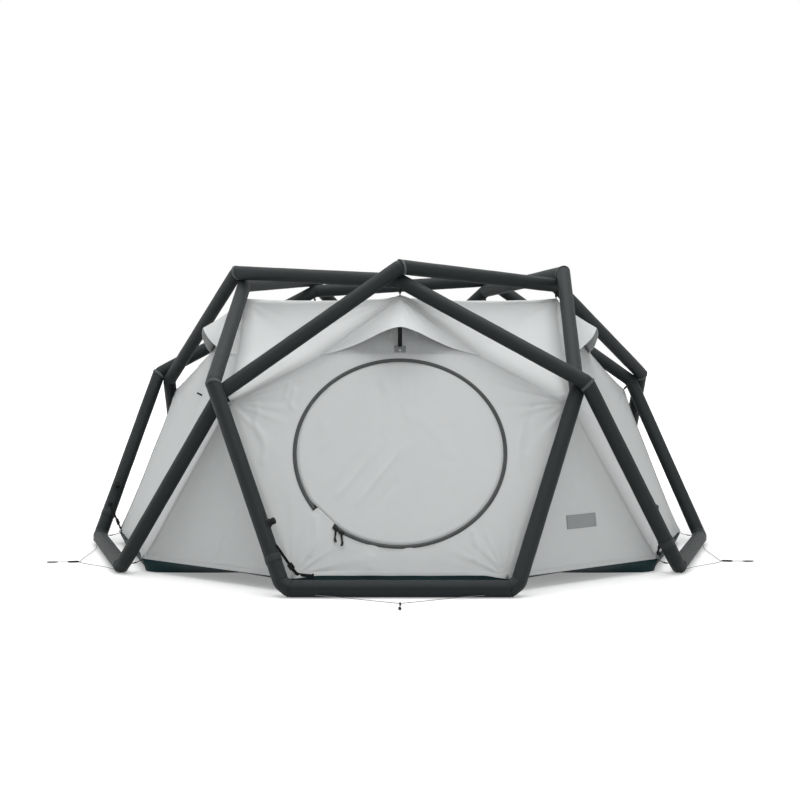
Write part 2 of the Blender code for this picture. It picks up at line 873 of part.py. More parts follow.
def smooth_route(points, steps):
    """Points read from a smooth curve through the route's own points."""
    spots = [Vector(point) for point in points]
    spots = [2 * spots[0] - spots[1]] + spots + [2 * spots[-1] - spots[-2]]
    result = []
    for a, b, c, d in zip(spots, spots[1:], spots[2:], spots[3:]):
        for n in range(steps):
            t = n / steps
            result.append(0.5 * (2 * b + (c - a) * t + (2 * a - 5 * b + 4 * c - d) * t * t
                                 + (3 * b - a - 3 * c + d) * t * t * t))
    result.append(spots[-2])
    return result


def line_curve(name, points, thickness, shares, look):
    """Round line along the points; shares scale its radius point by point."""
    data = bpy.data.curves.new(name, "CURVE")
    data.dimensions = "3D"
    data.bevel_depth = thickness
    data.bevel_resolution = 2
    data.use_fill_caps = True
    spline = data.splines.new("POLY")
    spline.points.add(len(points) - 1)
    for dot, point, share in zip(spline.points, points, shares):
        dot.co = (*point, 1)
        dot.radius = share
    return add_object(name, data, look)


def make_guy(place):
    points = smooth_route(guy_routes[place], guy_steps)
    points = [turned(point, guy_folds[place]) for point in points]
    return line_curve(f"guy_line_{place}", points, line_radius, [1] * len(points), pale_line)


def make_tail(place):
    """Short line from the guy line's bend, with its tensioner and its peg loop."""
    points = smooth_route(tail_routes[place], tail_steps)
    points = [turned(point, guy_folds[place]) for point in points]
    thick = tensioner_radius / line_radius
    loop = peg_loop_radius / line_radius
    shares = []
    for n in range(len(points)):
        stretch = n / tail_steps
        if stretch <= 1:
            shares.append(thick)
        elif stretch < 2:
            shares.append(1)
        else:
            shares.append(1 + (loop - 1) * min(1, stretch - 2 + 1 / tail_steps))
    return line_curve(f"guy_tail_{place}", points, line_radius, shares, webbing)


# Assembly

def build():
    sleeves = [make_sleeve(fold) for fold in range(fold_count)]
    for fold in range(fold_count):
        make_bladder(fold)
        make_valve(fold)
        make_corner_panel(fold)
        make_strap(fold)
    make_roof()
    panels = [make_side_panel(fold) for fold in range(fold_count)]
    cut_doorway(panels[0])
    make_tray()
    make_door_set()
    for fold in hood_panels:
        make_hood(fold)
        make_strut(fold)
    bpy.context.view_layer.update()
    tree = surface_tree(sleeves)
    for fold in range(fold_count):
        make_hanger(f"top_hanger_{fold + 1}", fly_top(fold), top_crossing(fold, False), tree)
        make_hanger(f"mid_hanger_{fold + 1}", fly_mid(fold), mid_crossing(fold + 1, False),
                    tree)
    for place in guy_routes:
        make_guy(place)
        make_tail(place)


def make_door_set():
    make_door()
    make_zip()
    for index in range(2):
        make_slider(index)
        make_pull(index)


build()
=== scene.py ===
"""Looks of the inflatable geodesic tent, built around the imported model.

Metres, +Z up, the door faces -Y. An azimuth of 0 points at the door and grows towards +X.
"""
import bmesh
import bpy
import numpy as np
from math import atan2, cos, degrees, exp, pi, radians, sin, sqrt
from mathutils import Matrix, Vector
from mathutils.kdtree import KDTree


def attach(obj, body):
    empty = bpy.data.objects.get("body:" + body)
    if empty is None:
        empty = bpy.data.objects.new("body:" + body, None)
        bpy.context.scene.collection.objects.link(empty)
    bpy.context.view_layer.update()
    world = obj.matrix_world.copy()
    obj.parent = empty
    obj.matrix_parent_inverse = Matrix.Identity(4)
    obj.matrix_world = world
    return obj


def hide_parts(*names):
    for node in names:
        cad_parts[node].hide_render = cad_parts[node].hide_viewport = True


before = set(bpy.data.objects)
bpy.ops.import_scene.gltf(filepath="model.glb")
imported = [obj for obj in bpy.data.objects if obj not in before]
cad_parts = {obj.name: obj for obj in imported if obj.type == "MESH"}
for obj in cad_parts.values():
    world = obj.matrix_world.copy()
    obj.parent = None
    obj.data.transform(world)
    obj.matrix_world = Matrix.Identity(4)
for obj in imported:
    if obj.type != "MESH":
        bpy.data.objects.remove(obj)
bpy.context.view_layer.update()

# Frame and fly, the same values as the solid model
fold_count = 5
fold_angle = 2 * pi / fold_count
corner_angle = fold_angle / 4
ground_radius = 1.480
mid_radius, mid_height = 1.287, .810
top_radius, top_height = .791, 1.290
tube_radius, base_tube_radius = .032, .034
base_axis_height = base_tube_radius * cos(pi / 14)
crossing_offset = 2 * tube_radius * 1.078 + .0003
elbow_setback = .026
cuff_height, cuff_length = .111, .028
fly_top_radius, fly_top_height = .775, 1.190
fly_mid_height = .745
fly_hem_radius, fly_hem_height = 1.382, .053
door_drop, door_half_width, door_half_height = .712, .4325, .4165
zip_width, zip_proud = .024, .0015
uncut_from, uncut_to = 38.7, 52.7
slider_track = .4260
slider_rest = {"rear": 37.4, "lead": 33.7}
hood_names = {0: "front", 1: "right", 4: "left"}
hood_peak_drop, hood_half_width, hood_side_drop = .012, .339, .2725
hood_lip_drop, hood_lip_rise = .200, .116
prop_foot_drop, prop_foot_rise = .236, .0032
side_names = {0: "front", 1: "right", 2: "back_right", 3: "back_left", 4: "left"}


def polar(azimuth, radius, height):
    return Vector((radius * sin(azimuth), -radius * cos(azimuth), height))


def turned(point, fold):
    return Matrix.Rotation(fold * fold_angle, 3, "Z") @ Vector(point)


def crossing(azimuth, radius, height, over):
    spot = polar(azimuth, radius, height)
    return spot + spot.normalized() * crossing_offset * (.5 if over else -.5)


def ground_corner(fold, side):
    return polar(fold * fold_angle + side * corner_angle, ground_radius, base_axis_height)


def mid_crossing(fold, over):
    return crossing((fold - .5) * fold_angle, mid_radius, mid_height, over)


def top_crossing(fold, over):
    return crossing(fold * fold_angle, top_radius, top_height, over)


def cuffed_leg(fold):
    foot = ground_corner(fold, -1)
    return foot, (mid_crossing(fold, True) - foot).normalized()


def fly_top(fold):
    return polar(fold * fold_angle, fly_top_radius, fly_top_height)


def fly_hem(fold, side):
    return polar(fold * fold_angle + side * corner_angle, fly_hem_radius, fly_hem_height)


slope = (fly_hem_radius * cos(corner_angle) - fly_top_radius) / (fly_top_height - fly_hem_height)
fly_mid_radius = (fly_top_radius + slope * (fly_top_height - fly_mid_height)) / cos(fold_angle / 2)


def fly_mid(fold):
    return polar((fold + .5) * fold_angle, fly_mid_radius, fly_mid_height)


across = Vector((1, 0, 0))
down_slope = ((fly_hem(0, 1) + fly_hem(0, -1)) / 2 - fly_top(0)).normalized()
outward = down_slope.cross(across).normalized()


def on_panel(side, drop, rise=0.0, fold=0):
    return turned(fly_top(0) + across * side + down_slope * drop + outward * rise, fold)


# Mesh tools

def mesh_object(name, verts, faces, uv=None, smooth=True):
    """Mesh from arrays; uv holds one pair for each vertex."""
    data = bpy.data.meshes.new(name)
    data.from_pydata([tuple(v) for v in np.asarray(verts, float)], [], [tuple(f) for f in faces])
    if uv is not None:
        layer = data.uv_layers.new(name="UVMap")
        index = np.empty(len(data.loops), int)
        data.loops.foreach_get("vertex_index", index)
        layer.data.foreach_set("uv", np.asarray(uv, float)[index].ravel())
    data.polygons.foreach_set("use_smooth", [smooth] * len(data.polygons))
    data.update()
    item = bpy.data.objects.new(name, data)
    bpy.context.scene.collection.objects.link(item)
    return item


def grid_faces(rows, cols, close_rows=False, close_cols=False, start=0):
    faces = []
    for r in range(rows if close_rows else rows - 1):
        r2 = (r + 1) % rows
        for c in range(cols if close_cols else cols - 1):
            c2 = (c + 1) % cols
            faces.append((start + r * cols + c, start + r * cols + c2,
                          start + r2 * cols + c2, start + r2 * cols + c))
    return faces


def join(name, items):
    """One object from several, with their materials kept."""
    target = bmesh.new()
    looks = []
    for item in items:
        data = item.data
        if data.materials and data.materials[0] not in looks:
            looks.append(data.materials[0])
        number = looks.index(data.materials[0]) if data.materials else 0
        before = len(target.faces)
        moved = data.copy()
        moved.transform(item.matrix_world)
        target.from_mesh(moved)
        target.faces.ensure_lookup_table()
        for face in target.faces[before:]:
            face.material_index = number
        bpy.data.meshes.remove(moved)
        bpy.data.objects.remove(item)
    data = bpy.data.meshes.new(name)
    target.to_mesh(data)
    target.free()
    for look in looks:
        data.materials.append(look)
    made = bpy.data.objects.new(name, data)
    bpy.context.scene.collection.objects.link(made)
    return made


def unit(v):
    v = np.asarray(v, float)
    return v / np.maximum(np.linalg.norm(v, axis=-1, keepdims=True), 1e-12)


def sweep(name, points, section, up=(0, 0, 1), look=None, ups=None, scale=None):
    """Section (x to the side, y along up) carried along the points, with both ends capped."""
    pts = np.asarray([tuple(p) for p in points], float)
    n = len(pts)
    runs = unit(np.gradient(pts, axis=0))
    high = np.tile(np.asarray(up, float), (n, 1)) if ups is None else np.asarray(ups, float)
    side = unit(np.cross(runs, high))
    high = np.cross(side, runs)
    shape = np.asarray(section, float)
    grow = np.ones(n) if scale is None else np.asarray(scale, float)
    rows = (pts[:, None, :] + (side[:, None, :] * shape[None, :, :1]
            + high[:, None, :] * shape[None, :, 1:]) * grow[:, None, None])
    m = len(shape)
    length = np.concatenate([[0], np.cumsum(np.linalg.norm(np.diff(pts, axis=0), axis=1))])
    around = np.concatenate([[0], np.cumsum(np.linalg.norm(np.diff(shape, axis=0), axis=1))])
    uv = np.stack(np.meshgrid(around, length), -1).reshape(-1, 2)
    faces = grid_faces(n, m, False, True)
    faces.append(tuple(range(m)))
    faces.append(tuple((n - 1) * m + c for c in reversed(range(m))))
    item = mesh_object(name, rows.reshape(-1, 3), faces, uv)
    fix_normals(item)
    if look:
        item.data.materials.append(look)
    return item


def fix_normals(item):
    work = bmesh.new()
    work.from_mesh(item.data)
    bmesh.ops.recalc_face_normals(work, faces=work.faces)
    work.to_mesh(item.data)
    work.free()


def circle(radius, sides=10):
    turn = np.arange(sides) * 2 * pi / sides
    return np.stack([radius * np.cos(turn), radius * np.sin(turn)], 1)


def flat_section(width, thick, bulge=.35):
    """Webbing section with rounded edges."""
    w, t = width / 2, thick / 2
    return np.array([(-w, 0), (-w + t * .5, -t * .8), (-w + t * 1.6, -t), (0, -t * (1 + bulge * .2)),
                     (w - t * 1.6, -t), (w - t * .5, -t * .8), (w, 0), (w - t * .5, t * .8),
                     (w - t * 1.6, t), (0, t * (1 + bulge * .2)), (-w + t * 1.6, t),
                     (-w + t * .5, t * .8)])


def catmull(points, steps):
    spots = [Vector(p) for p in points]
    spots = [2 * spots[0] - spots[1]] + spots + [2 * spots[-1] - spots[-2]]
    result = []
    for a, b, c, d in zip(spots, spots[1:], spots[2:], spots[3:]):
        for n in range(steps):
            t = n / steps
            result.append(.5 * (2 * b + (c - a) * t + (2 * a - 5 * b + 4 * c - d) * t * t
                                + (3 * b - a - 3 * c + d) * t * t * t))
    result.append(spots[-2])
    return result


def lathe(name, profile, place, look, sides=32, lobes=0, depth=0.0, lobe_rows=()):
    """Turned part about local Z; lobes cut the marked rows in as finger grips."""
    rows = []
    for n, (radius, height) in enumerate(profile):
        for k in range(sides):
            turn = 2 * pi * k / sides
            r = radius
            if n in lobe_rows:
                r -= depth * (.5 - .5 * cos(lobes * turn)) ** 2
            rows.append(place @ Vector((r * cos(turn), r * sin(turn), height)))
    count = len(profile)
    faces = grid_faces(count, sides, False, True)
    faces.append(tuple(reversed(range(sides))))
    faces.append(tuple((count - 1) * sides + k for k in range(sides)))
    item = mesh_object(name, rows, faces)
    fix_normals(item)
    item.data.materials.append(look)
    return item


def rounded_box(name, size, place, look, bevel=.001, segments=2):
    work = bmesh.new()
    bmesh.ops.create_cube(work, size=1)
    bmesh.ops.scale(work, verts=work.verts, vec=size)
    bmesh.ops.bevel(work, geom=work.edges[:], offset=bevel, segments=segments, affect="EDGES",
                    profile=.5)
    data = bpy.data.meshes.new(name)
    work.to_mesh(data)
    work.free()
    data.transform(place)
    data.polygons.foreach_set("use_smooth", [True] * len(data.polygons))
    item = bpy.data.objects.new(name, data)
    bpy.context.scene.collection.objects.link(item)
    data.materials.append(look)
    return item


def basis(x, y, z, origin):
    place = Matrix((x, y, z)).transposed().to_4x4()
    place.translation = origin
    return place


# Materials

def tree_of(name, rough, sheen=0.0, sheen_rough=.5, level=.5):
    made = bpy.data.materials.new(name)
    made.use_nodes = True
    tree = made.node_tree
    shader = tree.nodes["Principled BSDF"]
    shader.inputs["Roughness"].default_value = rough
    shader.inputs["Specular IOR Level"].default_value = level
    shader.inputs["Sheen Weight"].default_value = sheen
    shader.inputs["Sheen Roughness"].default_value = sheen_rough
    return made, tree, shader


def add(tree, kind, **values):
    node = tree.nodes.new(kind)
    for key, value in values.items():
        if key in node.inputs:
            node.inputs[key].default_value = value
        else:
            setattr(node, key, value)
    return node


def noise(tree, coords, scale, detail=3.0, rough=.5):
    node = add(tree, "ShaderNodeTexNoise", Scale=scale, Detail=detail, Roughness=rough)
    tree.links.new(coords, node.inputs["Vector"])
    return node.outputs["Fac"]


def ramp(tree, value, stops):
    node = add(tree, "ShaderNodeValToRGB")
    points = node.color_ramp.elements
    while len(points) < len(stops):
        points.new(.5)
    for point, (at, colour) in zip(points, stops):
        point.position = at
        point.color = (*colour, 1)
    tree.links.new(value, node.inputs["Fac"])
    return node.outputs["Color"]


def calc(tree, operation, a, b=None):
    node = add(tree, "ShaderNodeMath", operation=operation)
    for slot, value in zip(node.inputs, (a, b)):
        if value is None:
            continue
        if isinstance(value, (int, float)):
            slot.default_value = value
        else:
            tree.links.new(value, slot)
    return node.outputs[0]


def mix(tree, factor, a, b, blend="MIX"):
    node = add(tree, "ShaderNodeMix", data_type="RGBA", blend_type=blend)
    for slot, value in ((node.inputs[0], factor), (node.inputs[6], a), (node.inputs[7], b)):
        if isinstance(value, (int, float)):
            slot.default_value = value
        elif isinstance(value, tuple):
            slot.default_value = (*value, 1)
        else:
            tree.links.new(value, slot)
    return node.outputs[2]


def waves(tree, coords, pitch, direction):
    node = add(tree, "ShaderNodeTexWave", wave_type="BANDS", bands_direction=direction,
               Scale=2 * pi / (20 * pitch), Distortion=0.0)
    tree.links.new(coords, node.inputs["Vector"])
    return node.outputs["Fac"]


def bump(tree, shader, height, distance):
    node = add(tree, "ShaderNodeBump", Distance=distance, Strength=1.0)
    tree.links.new(height, node.inputs["Height"])
    tree.links.new(node.outputs["Normal"], shader.inputs["Normal"])


def woven(name, dark, light, rough=.8, pitch=.0012, relief=.0002, sheen=0.0, scale=2.5,
          mottle=60.0, stitch=None, level=.4, grid=None, blotch=.86):
    """Plain weave: two crossing thread waves, a slow colour drift and a fine mottle."""
    made, tree, shader = tree_of(name, rough, sheen, .45, level)
    spot = add(tree, "ShaderNodeTexCoord")
    flat, solid = spot.outputs["UV"], spot.outputs["Object"]
    drift = noise(tree, solid, scale, 4.0, .55)
    fine = noise(tree, solid, mottle, 4.0, .6)
    colour = ramp(tree, drift, [(.3, dark), (.7, light)])
    shade = ramp(tree, fine, [(.25, (blotch,) * 3), (.75, (1.0, 1.0, 1.0))])
    colour = mix(tree, .8, colour, shade, "MULTIPLY")
    warp = waves(tree, flat, pitch, "X")
    weft = waves(tree, flat, pitch, "Y")
    weave = calc(tree, "MULTIPLY", warp, weft)
    height = calc(tree, "ADD", weave, calc(tree, "MULTIPLY", fine, .5))
    if grid:
        for direction in "XY":
            line = calc(tree, "POWER", waves(tree, flat, grid, direction), 14.0)
            height = calc(tree, "ADD", height, calc(tree, "MULTIPLY", line, .8))
            colour = mix(tree, calc(tree, "MULTIPLY", line, .05), colour, (.95, .95, .95))
    if stitch:
        width, gap, offset = stitch
        cells = add(tree, "ShaderNodeSeparateXYZ")
        tree.links.new(spot.outputs["UV"], cells.inputs[0])
        for place in offset:
            away = calc(tree, "ABSOLUTE", calc(tree, "SUBTRACT", cells.outputs[0], place))
            band = calc(tree, "LESS_THAN", away, width)
            dash = calc(tree, "GREATER_THAN", waves(tree, spot.outputs["UV"], gap, "Y"), .35)
            mark = calc(tree, "MULTIPLY", band, dash)
            colour = mix(tree, calc(tree, "MULTIPLY", mark, .45), colour,
                         tuple(c * .55 for c in dark))
            height = calc(tree, "ADD", height, calc(tree, "MULTIPLY", mark, 1.5))
    tree.links.new(colour, shader.inputs["Base Color"])
    rough_map = calc(tree, "ADD", calc(tree, "MULTIPLY", fine, .18), rough - .09)
    tree.links.new(rough_map, shader.inputs["Roughness"])
    bump(tree, shader, height, relief)
    return made


def moulded(name, dark, light, rough=.42, grain=900.0, relief=.00012, level=.5):
    """Moulded plastic: fine grain with worn, slightly paler patches."""
    made, tree, shader = tree_of(name, rough, 0, .5, level)
    spot = add(tree, "ShaderNodeTexCoord").outputs["Object"]
    wear = noise(tree, spot, 45.0, 5.0, .6)
    fine = noise(tree, spot, grain, 2.0, .5)
    tree.links.new(ramp(tree, wear, [(.35, dark), (.75, light)]), shader.inputs["Base Color"])
    tree.links.new(calc(tree, "ADD", calc(tree, "MULTIPLY", wear, .22), rough - .1),
                   shader.inputs["Roughness"])
    bump(tree, shader, fine, relief)
    return made


def corded(name, dark, light, pitch=.004, relief=.0004, rough=.8):
    """Braided cord: diagonal waves with a mottle, in object space."""
    made, tree, shader = tree_of(name, rough, .05, .5, .2)
    spot = add(tree, "ShaderNodeTexCoord").outputs["Object"]
    one = waves(tree, spot, pitch, "DIAGONAL")
    two = waves(tree, spot, pitch * .8, "X")
    fine = noise(tree, spot, 320.0, 3.0, .6)
    height = calc(tree, "ADD", calc(tree, "MULTIPLY", one, two), fine)
    tree.links.new(ramp(tree, height, [(.3, dark), (1.0, light)]), shader.inputs["Base Color"])
    tree.links.new(calc(tree, "ADD", calc(tree, "MULTIPLY", fine, .15), rough - .08),
                   shader.inputs["Roughness"])
    bump(tree, shader, height, relief)
    return made


def film(name):
    made, tree, shader = tree_of(name, .35)
    spot = add(tree, "ShaderNodeTexCoord").outputs["Object"]
    cloud = noise(tree, spot, 30.0, 4.0, .6)
    tree.links.new(ramp(tree, cloud, [(.3, (.50, .53, .55)), (.7, (.62, .65, .67))]),
                   shader.inputs["Base Color"])
    bump(tree, shader, noise(tree, spot, 120.0, 2.0), .0004)
    return made


tube_look = woven("tube_weave", (.0072, .0106, .0110), (.0104, .0146, .0150), .58, .0015, .00022,
                  .020, 2.0, 90.0, level=.22)
band_look = woven("tube_band", (.070, .079, .079), (.098, .108, .108), .72, .0013, .00022,
                  .04, 4.0, 90.0, level=.25)
cuff_look = woven("tube_cuff", (.0130, .0170, .0172), (.0190, .0235, .0236), .60, .0014, .00022,
                  .03, 4.0, 90.0, level=.25)
film_look = film("bladder_sheet")
fly_look = woven("fly_weave", (.540, .554, .552), (.556, .570, .568), .78, .0011, .00010,
                 0.0, 1.3, 25.0, level=.3, grid=.006, blotch=.97)
seam_look = woven("fly_seam", (.525, .540, .538), (.550, .564, .562), .80, .0012, .00016,
                  0.0, 3.0, 40.0, level=.3, stitch=(.0005, .0035, (.0022, .0098)), blotch=.95)
door_look = woven("door_weave", (.538, .552, .550), (.556, .570, .568), .78, .0011, .00010,
                  0.0, 1.8, 25.0, level=.3, grid=.006, blotch=.97)
hood_look = woven("hood_weave", (.556, .570, .568), (.572, .586, .584), .78, .0011, .00010,
                  0.0, 2.5, 30.0, level=.3, grid=.006, blotch=.97)
# Vent mesh fabric; its grey is kept darker than the fly's, partly as painted shade under the hoods.
mesh_and_painted_shade_look = woven("vent_mesh_and_painted_shade", (.50, .514, .514), (.53, .544, .544), .85, .0018, .0003,
                  0.0, 4.0, 60.0, level=.25)
tray_look = woven("tray_coated", (.0026, .0190, .0225), (.0042, .0275, .0320), .58, .0011, .00012,
                  0.0, 3.0, 30.0, level=.22)
zip_look = woven("zip_woven", (.050, .056, .056), (.068, .075, .074), .62, .0016, .00025,
                 .10, 8.0, 200.0, level=.4, stitch=(.0005, .0030, (.0035, .0195)))
coil_look = moulded("zip_coil", (.040, .044, .044), (.062, .067, .067), .38)
black_look = moulded("black_moulded", (.0026, .0028, .0029), (.0060, .0064, .0066), .55, level=.2)
web_look = woven("black_webbing", (.0042, .0046, .0047), (.0075, .0080, .0082), .80, .0014, .0004,
                 .02, 9.0, 200.0, level=.15)
cord_look = corded("black_cord", (.005, .0055, .0055), (.012, .0125, .0125), .003)
pale_look = corded("pale_cord", (.15, .155, .155), (.24, .247, .247), .003)
patch_look = woven("grey_patch", (.262, .277, .279), (.290, .306, .308), .74, .0011, .00012,
                   0.0, 6.0, 60.0, level=.35, stitch=(.0004, .0030, (.0030,)), blotch=.93)
foot_look = woven("prop_foot", (.19, .20, .20), (.25, .262, .262), .80, .0013, .0003,
                  0.0, 9.0, 120.0, level=.3)


# Camera, floor and lights

scene = bpy.context.scene
scene.view_settings.view_transform = "Standard"
lens = bpy.data.cameras.new("camera")
lens.lens = 62.39
lens.sensor_width = 36
camera = bpy.data.objects.new("camera", lens)
camera.location = (0, -6.8, 1.022)
camera.rotation_euler = (pi / 2 - .0461, 0, 0)
scene.collection.objects.link(camera)
scene.camera = camera

world = bpy.data.worlds.new("studio")
world.use_nodes = True
scene.world = world
air = world.node_tree
back = air.nodes["Background"]
path = add(air, "ShaderNodeLightPath")
shown = calc(air, "MAXIMUM", path.outputs["Is Camera Ray"],
             calc(air, "MAXIMUM", path.outputs["Is Glossy Ray"],
                  path.outputs["Is Transmission Ray"]))
white = add(air, "ShaderNodeBackground", Strength=1.0)
white.inputs["Color"].default_value = (1, 1, 1, 1)
back.inputs["Color"].default_value = (.97, .985, 1, 1)
back.inputs["Strength"].default_value = .36
blend_back = add(air, "ShaderNodeMixShader")
air.links.new(shown, blend_back.inputs[0])
air.links.new(back.outputs[0], blend_back.inputs[1])
air.links.new(white.outputs[0], blend_back.inputs[2])
air.links.new(blend_back.outputs[0], air.nodes["World Output"].inputs["Surface"])


def floor_material():
    made, tree, shader = tree_of("floor_white", .9, 0, .5, .1)
    spot = add(tree, "ShaderNodeTexCoord").outputs["Object"]
    grain = noise(tree, spot, 2.0)
    tree.links.new(ramp(tree, grain, [(.3, (.80, .80, .80)), (.7, (.81, .81, .81))]),
                   shader.inputs["Base Color"])
    rays = add(tree, "ShaderNodeLightPath")
    seen = calc(tree, "MAXIMUM", rays.outputs["Is Camera Ray"],
                calc(tree, "MAXIMUM", rays.outputs["Is Glossy Ray"],
                     rays.outputs["Is Transmission Ray"]))
    glow = add(tree, "ShaderNodeEmission")
    glow.inputs["Color"].default_value = (1, 1, 1, 1)
    far = add(tree, "ShaderNodeVectorMath", operation="LENGTH")
    tree.links.new(spot, far.inputs[0])
    reach = add(tree, "ShaderNodeMapRange", interpolation_type="SMOOTHSTEP")
    for key, value in (("From Min", 1.9), ("From Max", 4.2), ("To Min", .27), ("To Max", 1.0)):
        reach.inputs[key].default_value = value
    tree.links.new(far.outputs["Value"], reach.inputs["Value"])
    tree.links.new(calc(tree, "MULTIPLY", seen, reach.outputs["Result"]), glow.inputs["Strength"])
    both = add(tree, "ShaderNodeAddShader")
    tree.links.new(shader.outputs[0], both.inputs[0])
    tree.links.new(glow.outputs[0], both.inputs[1])
    tree.links.new(both.outputs[0], tree.nodes["Material Output"].inputs["Surface"])
    return made


floor = mesh_object("floor", [(-40, -40, 0), (40, -40, 0), (40, 40, 0), (-40, 40, 0)],
                    [(0, 1, 2, 3)], smooth=False)
floor.data.materials.append(floor_material())


def lamp(name, place, aim, size, power, colour=(1, 1, 1)):
    data = bpy.data.lights.new(name, "AREA")
    data.shape = "SQUARE"
    data.size = size
    data.energy = power
    data.color = colour
    item = bpy.data.objects.new(name, data)
    item.location = place
    item.rotation_euler = (Vector(aim) - Vector(place)).to_track_quat("-Z", "Y").to_euler()
    scene.collection.objects.link(item)


lamp("top", (0, -.6, 5.6), (0, 0, .4), 6.0, 345)
lamp("front", (3.0, -7.2, 2.6), (0, 0, .45), 4.5, 95)
lamp("side", (-6.5, .6, 2.6), (0, 0, .6), 3.5, 70)


# Guy lines, the same routes as in the solid model

guy_folds = {"front": 0, "right": 1, "left": 4}
guy_routes = {
    "front": [
        (-.3300, -1.4353, .0120), (-.2400, -1.4585, .0090), (-.1500, -1.4870, .0055),
        (-.0600, -1.5185, .0025), (-.0120, -1.5385, .0016), (0, -1.5410, .0016),
        (.0120, -1.5385, .0016), (.0600, -1.5185, .0025), (.1500, -1.4870, .0055),
        (.2400, -1.4585, .0090), (.3300, -1.4353, .0120),
    ],
    "left": [
        (-.3300, -1.4353, .0120), (-.2450, -1.4480, .0090), (-.1500, -1.4780, .0055),
        (-.0200, -1.5230, .0025), (.0850, -1.5520, .0016), (.1000, -1.5545, .0016),
        (.1130, -1.5510, .0016), (.1650, -1.5290, .0025), (.2350, -1.4970, .0055),
        (.3100, -1.4660, .0090), (.4000, -1.4353, .0120),
    ],
    "right": [
        (-.4000, -1.4353, .0120), (-.3050, -1.4640, .0090), (-.2200, -1.4990, .0055),
        (-.1450, -1.5320, .0025), (-.0900, -1.5525, .0016), (-.0760, -1.5550, .0016),
        (-.0620, -1.5520, .0016), (.0300, -1.5210, .0025), (.1500, -1.4790, .0055),
        (.2450, -1.4490, .0090), (.3300, -1.4353, .0120),
    ],
}
tail_routes = {
    "front": [(0, -1.5427, .0045), (.0010, -1.5940, .0045), (-.0010, -1.6320, .0045),
              (0, -1.6740, .0045)],
    "left": [(.0997, -1.5567, .0045), (.0920, -1.6060, .0045), (.0830, -1.6480, .0045),
             (.0714, -1.6960, .0045)],
    "right": [(-.0757, -1.5572, .0045), (-.0670, -1.6060, .0045), (-.0560, -1.6480, .0045),
              (-.0420, -1.6960, .0045)],
}
line_radius = .00125


def cord_curve(name, points, radius, look):
    data = bpy.data.curves.new(name, "CURVE")
    data.dimensions = "3D"
    data.bevel_depth = radius
    data.bevel_resolution = 3
    data.use_fill_caps = True
    spline = data.splines.new("POLY")
    spline.points.add(len(points) - 1)
    for dot, point in zip(spline.points, points):
        dot.co = (*point, 1)
    data.materials.append(look)
    item = bpy.data.objects.new(name, data)
    scene.collection.objects.link(item)
    return item


for place, fold in guy_folds.items():
    points = [turned(p, fold) for p in catmull(guy_routes[place], 3)]
    line = cord_curve(f"guy_cord_{place}", points, line_radius, pale_look)
    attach(line, "tent")
    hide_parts(f"guy_line_{place}")
    points_t = [turned(p, fold) for p in catmull(tail_routes[place], 5)]
    tail = cord_curve(f"guy_tail_cord_{place}", points_t, line_radius, pale_look)
    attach(tail, "tent")
    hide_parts(f"guy_tail_{place}")
    lift = np.array([0, 0, 1.0])
    grip = sweep(f"guy_tensioner_{place}", points_t[:6], circle(.0040, 12), lift, cord_look,
                 scale=[.75, 1, 1, 1, 1, .7])
    loop = sweep(f"guy_peg_loop_{place}", points_t[10:], flat_section(.0125, .0056), lift,
                 black_look, scale=[.55, .9, 1, 1, .95, .7])
    for part in (grip, loop):
        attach(part, "tent")


# Air frame

def chamber_points(fold):
    foot, up_leg = cuffed_leg(fold)
    far_foot = ground_corner(fold, 1)
    along = (far_foot - foot).normalized()
    far_leg = (mid_crossing(fold + 1, False) - far_foot).normalized()
    last_foot, last_leg = cuffed_leg(fold + 3)
    return [foot + up_leg * (cuff_height + cuff_length), foot + up_leg * elbow_setback,
            foot + along * elbow_setback, far_foot - along * elbow_setback,
            far_foot + far_leg * elbow_setback, mid_crossing(fold + 1, False),
            top_crossing(fold + 1, True), top_crossing(fold + 2, False),
            mid_crossing(fold + 3, True), last_foot + last_leg * cuff_height]


bend_round = (0, .007, .007, .007, .007, .014, .014, .014, .014, 0)


def stations(points, wide, slim):
    """Stations along one chamber: place, radius and distance, dense at the bends."""
    pts = [np.array(p) for p in points]
    radii = [slim, slim, wide, wide] + [slim] * 6
    place, radius = [], []
    for n in range(len(pts)):
        if n in (0, len(pts) - 1):
            place.append(pts[n])
            radius.append(radii[n])
        else:
            a, b = unit(pts[n] - pts[n - 1]), unit(pts[n + 1] - pts[n])
            t = bend_round[n]
            for step in np.linspace(0, 1, 5):
                start, end = pts[n] - a * t, pts[n] + b * t
                q = (1 - step) ** 2 * start + 2 * step * (1 - step) * pts[n] + step ** 2 * end
                place.append(q)
                radius.append(radii[n])
        if n < len(pts) - 1:
            start, end = pts[n] + (unit(pts[n + 1] - pts[n]) * bend_round[n]), \
                pts[n + 1] - unit(pts[n + 1] - pts[n]) * bend_round[n + 1]
            span = np.linalg.norm(end - start)
            near = [s for s in (.004, .009, .015, .022, .030, .040, .055) if s < span * .45]
            middle = np.linspace(near[-1] if near else 0, span - (near[-1] if near else 0),
                                 max(2, int(span / .045)))
            marks = sorted(set(near) | set(middle.tolist()) | {span - s for s in near})
            for s in marks:
                if 0 < s < span:
                    share = s / span
                    place.append(start + (end - start) * share)
                    radius.append(radii[n] + (radii[n + 1] - radii[n]) * share)
    place = np.array(place)
    along = np.concatenate([[0], np.cumsum(np.linalg.norm(np.diff(place, axis=0), axis=1))])
    return place, np.array(radius), along


